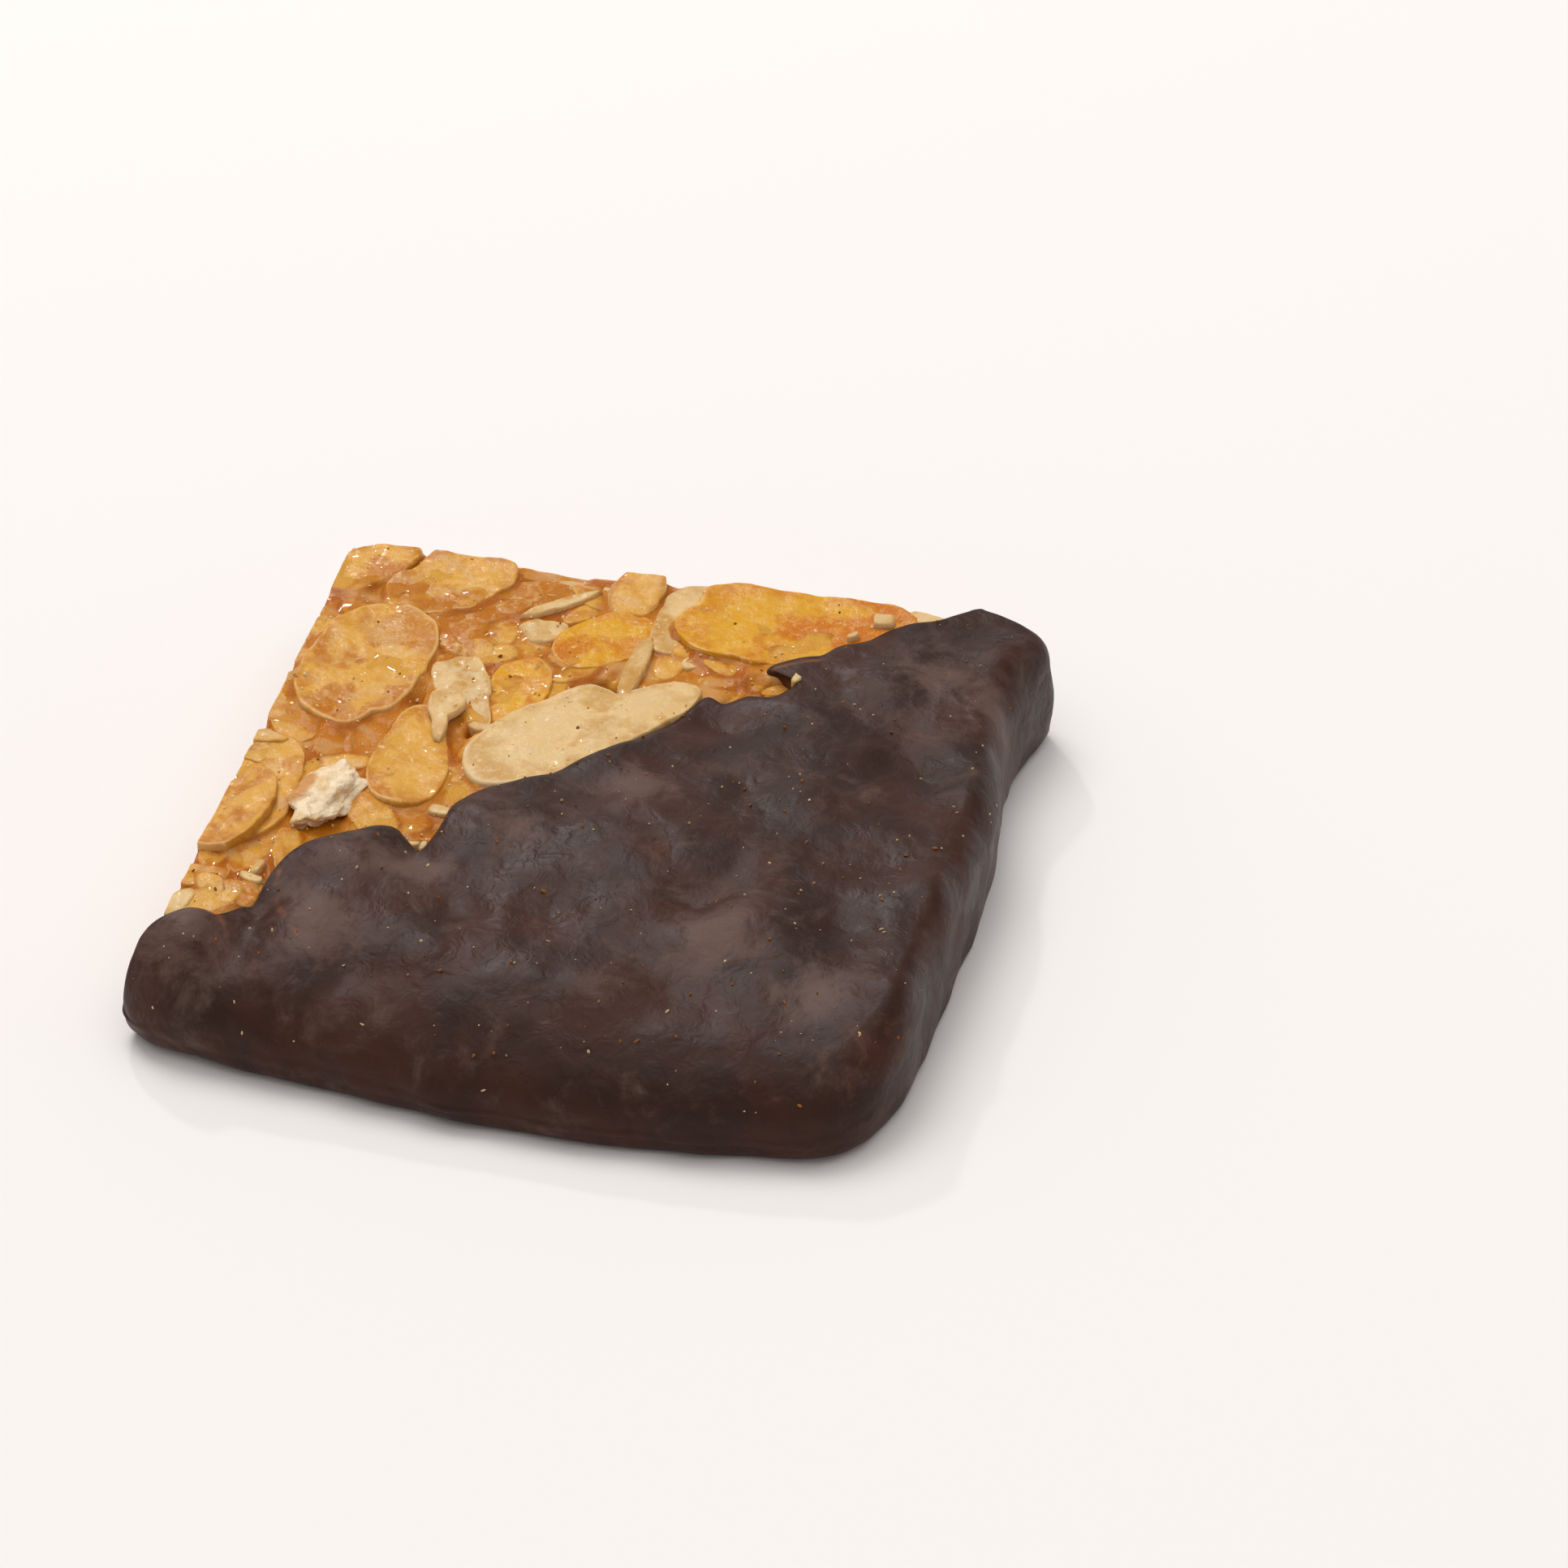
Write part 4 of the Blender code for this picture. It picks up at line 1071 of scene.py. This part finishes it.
def skin(name, x, y, z, material):
    """A mesh over a table of points: rows are closed sections, with a cap at each end."""
    count, around = x.shape
    points = np.stack([x, y, z], axis=-1).reshape(-1, 3) * MM
    faces = []
    for row in range(count - 1):
        for step in range(around):
            after = (step + 1) % around
            faces.append((row * around + step, row * around + after,
                          (row + 1) * around + after, (row + 1) * around + step))
    faces.append(tuple(range(around)))
    faces.append(tuple((count - 1) * around + step for step in reversed(range(around))))
    mesh = bpy.data.meshes.new(name)
    mesh.from_pydata(points.tolist(), [], faces)
    build = bmesh.new()
    build.from_mesh(mesh)
    bpy.data.meshes.remove(mesh)
    bmesh.ops.triangulate(build, faces=[face for face in build.faces if len(face.verts) > 4])
    return finish_mesh(build, name, material, 60.0)


def chocolate_finish():
    """Dark chocolate with a faint bloom and painted highlight on its domes, rusty smears, thin
    edges and a little nut dust.
    """
    material, tree, shader = new_material("dark_chocolate")
    place = put(tree, "ShaderNodeTexCoord").outputs["Object"]

    def clouds(size, detail, rough, bent):
        entries = {"Vector": place, "Scale": size, "Detail": detail, "Roughness": rough,
                   "Distortion": bent}
        return put(tree, "ShaderNodeTexNoise", entries).outputs["Fac"]

    film, _ = film_over(tree, 150.0, 21.0)
    ripple, _ = film_over(tree, 700.0, 40.0)
    haze = clouds(260.0, 6.0, 0.72, 0.4)
    smears = clouds(190.0, 7.0, 0.8, 1.2)
    bloom_and_highlight = maths(tree, "MULTIPLY_ADD", read(tree, "bloom_and_highlight"), 0.25, haze)
    rust = maths(tree, "MULTIPLY_ADD", read(tree, "rust"), 0.12, smears)
    dust = flecks_over(tree, 520.0, 0.13, 33.0)
    colour = mix(tree, film, (0.029, 0.0118, 0.0074), (0.049, 0.0160, 0.0096))
    for mask, low, high, most, shade in (
            # Paler where the pale patches lie: dull bloom and painted highlight.
            (bloom_and_highlight, 0.49, 0.82, 0.85, (0.122, 0.070, 0.055)),
            (rust, 0.62, 0.76, 0.45, (0.115, 0.045, 0.026)),
            (read(tree, "film"), 0.15, 0.9, 0.85, (0.19, 0.062, 0.022)),
            (dust, 0.0, 1.0, 0.6, (0.26, 0.16, 0.10))):
        colour = mix(tree, stretch(tree, mask, low, high, 0.0, most), colour, shade)
    fill(tree, shader, {
        "Base Color": colour, "Roughness": stretch(tree, haze, 0.35, 0.7, 0.36, 0.56),
        "Specular IOR Level": 0.16})
    relief(tree, shader, maths(tree, "SUBTRACT", ripple, dust), 0.35, 0.00012)
    return material


coat_x, coat_y, coat_z = coat_shell()
coat_mesh = skin("chocolate", coat_x, coat_y, coat_z, chocolate_finish())
on_top = np.clip((coat_z - 6.3) / 0.4, 0.0, 1.0)
fringe = np.zeros_like(coat_x)
fringe[:, :len(FRINGE)] = FRINGE
fringe *= np.clip(0.45 + 1.2 * waves_over(coat_x, coat_y, 2.2, 80.0), 0.0, 1.0)
thin = 0.85 * strokes(coat_x, coat_y, FILM_LINES, 0.22)
thin *= np.clip(0.7 + waves_over(coat_x, coat_y, 1.1, 81.0), 0.0, 1.0)
# The pale patches carry dull bloom and painted highlight together.
for label, values in (
        ("bloom_and_highlight", spots(coat_x, coat_y, BLOOM_AND_HIGHLIGHT_PATCHES)),
        ("rust", spots(coat_x, coat_y, RUST_PATCHES)),
        ("film", on_top * np.maximum(thin, fringe)),
        ("sprinkle", np.clip((coat_z - 3.0) / 2.0, 0.0, 1.0))):
    add_attribute(coat_mesh, label, values)
coat = new_object("chocolate", coat_mesh)
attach(coat, "root")
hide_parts("chocolate_coat")


# --- Crumbs and dust ------------------------------------------------------------------------
# Grains that fell off other cookies: pale almond dust on the chocolate, burnt sugar specks
# and white sugar grains on the almonds. Each is a lumpy grain bedded in the surface.


def grain_nodes():
    """A node tree that scatters lumpy grains over the faces of a mesh that look upward."""
    tree = bpy.data.node_groups.new("scattered_grains", "GeometryNodeTree")
    for label, kind in (("Surface", "Geometry"), ("Density", "Float"), ("Smallest", "Float"),
                        ("Largest", "Float"), ("Seed", "Int"), ("Material", "Material")):
        tree.interface.new_socket(name=label, in_out="INPUT", socket_type="NodeSocket" + kind)
    tree.interface.new_socket(name="Grains", in_out="OUTPUT", socket_type="NodeSocketGeometry")
    given = tree.nodes.new("NodeGroupInput").outputs
    leave = tree.nodes.new("NodeGroupOutput")
    mask = put(tree, "GeometryNodeInputNamedAttribute", {"Name": "sprinkle"}, data_type="FLOAT")
    amount = maths(tree, "MULTIPLY", given["Density"], mask.outputs["Attribute"])
    upright = put(tree, "GeometryNodeInputNormal").outputs["Normal"]
    split = put(tree, "ShaderNodeSeparateXYZ", {"Vector": upright})
    faces_up = put(tree, "FunctionNodeCompare", {"A": split.outputs["Z"], "B": 0.25},
                   operation="GREATER_THAN")
    spread = put(
        tree, "GeometryNodeDistributePointsOnFaces",
        {"Mesh": given["Surface"], "Selection": faces_up.outputs["Result"], "Density": amount,
         "Seed": given["Seed"]}, distribute_method="RANDOM")
    grain = put(tree, "GeometryNodeMeshIcoSphere", {"Radius": 1.0, "Subdivisions": 2})
    size = put(tree, "FunctionNodeRandomValue", {2: given["Smallest"], 3: given["Largest"]},
               data_type="FLOAT")
    turn = put(tree, "FunctionNodeRandomValue", {"Max": (6.28, 6.28, 6.28)},
               data_type="FLOAT_VECTOR")
    squash = put(tree, "FunctionNodeRandomValue",
                 {"Min": (0.5, 0.5, 0.35), "Max": (1.5, 1.0, 0.7)}, data_type="FLOAT_VECTOR")
    whole = put(tree, "ShaderNodeVectorMath",
                {0: squash.outputs["Value"], "Scale": size.outputs[1]}, operation="SCALE")
    instances = put(
        tree, "GeometryNodeInstanceOnPoints",
        {"Points": spread.outputs["Points"], "Instance": grain.outputs["Mesh"],
         "Rotation": turn.outputs["Value"], "Scale": whole.outputs[0]})
    real = put(tree, "GeometryNodeRealizeInstances", {"Geometry": instances.outputs[0]})
    place = put(tree, "GeometryNodeInputPosition").outputs["Position"]
    lumps = put(tree, "ShaderNodeTexNoise", {"Vector": place, "Scale": 9000.0})
    centred = put(tree, "ShaderNodeVectorMath",
                  {0: lumps.outputs["Color"], 1: (0.5, 0.5, 0.5)}, operation="SUBTRACT")
    push = put(tree, "ShaderNodeVectorMath", {0: centred.outputs[0], "Scale": 0.00005},
               operation="SCALE")
    shape = put(tree, "GeometryNodeSetPosition",
                {"Geometry": real.outputs[0], "Offset": push.outputs[0]})
    paint = put(tree, "GeometryNodeSetMaterial",
                {"Geometry": shape.outputs[0], "Material": given["Material"]})
    fill(tree, leave, {"Grains": paint.outputs[0]})
    return tree


GRAINS = grain_nodes()


def scatter(name, surface, material, density, smallest, largest, seed):
    """Grains over a surface mesh, as one plain mesh; sizes in millimetres, density per mm2."""
    source = new_object(name + "_source", surface)
    modifier = source.modifiers.new("grains", "NODES")
    modifier.node_group = GRAINS
    values = {"Density": density / MM ** 2, "Smallest": smallest * MM, "Largest": largest * MM,
              "Seed": seed, "Material": material}
    for item in GRAINS.interface.items_tree:
        if item.in_out == "INPUT" and item.name in values:
            modifier[item.identifier] = values[item.name]
    graph = bpy.context.evaluated_depsgraph_get()
    mesh = bpy.data.meshes.new_from_object(source.evaluated_get(graph), depsgraph=graph)
    bpy.data.objects.remove(source)
    mesh.shade_smooth()
    piece = new_object(name, mesh)
    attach(piece, "root")


def plain_finish(name, colour, roughness):
    """A dull broken surface with fine grain, for crumbs."""
    material, tree, shader = new_material(name)
    film, streaks = film_over(tree, 2500.0, 3.0)
    darker = tuple(channel * 0.6 for channel in colour)
    fill(tree, shader, {"Base Color": mix(tree, film, colour, darker), "Roughness": roughness,
                        "Specular IOR Level": 0.15})
    relief(tree, shader, streaks, 0.4, 0.00004)
    return material


sky_x, sky_y = plan_x, plan_y
sky_z = np.maximum(skyline, caramel_z) + 0.02
bare = np.clip((sky_y - sky_x - 1.0) / 2.0, 0.0, 1.0)
sky_build = bmesh.new()
sky_points = [[sky_build.verts.new((sky_x[i, j] * MM, sky_y[i, j] * MM, sky_z[i, j] * MM))
               for j in range(0, CARAMEL_STEPS + 1, 2)] for i in range(0, CARAMEL_STEPS + 1, 2)]
for first, second in zip(sky_points, sky_points[1:]):
    for step in range(len(first) - 1):
        sky_build.faces.new((first[step], second[step], second[step + 1], first[step + 1]))
sky_mesh = bpy.data.meshes.new("almond_surface")
sky_build.to_mesh(sky_mesh)
sky_build.free()
add_attribute(sky_mesh, "sprinkle", bare[::2, ::2])

pale_crumb = plain_finish("pale_crumb", (0.68, 0.46, 0.25), 0.7)
burnt_sugar = plain_finish("burnt_sugar", (0.27, 0.095, 0.025), 0.45)
sugar_grain = plain_finish("sugar_grain", (0.97, 0.70, 0.34), 0.30)
scatter("almond_dust", coat_mesh, pale_crumb, 0.075, 0.05, 0.15, 5)
scatter("cocoa_crumbs", coat_mesh, burnt_sugar, 0.05, 0.08, 0.20, 8)
scatter("sugar_grains", sky_mesh, sugar_grain, 0.50, 0.06, 0.16, 2)
scatter("burnt_specks", sky_mesh, burnt_sugar, 0.075, 0.06, 0.17, 3)
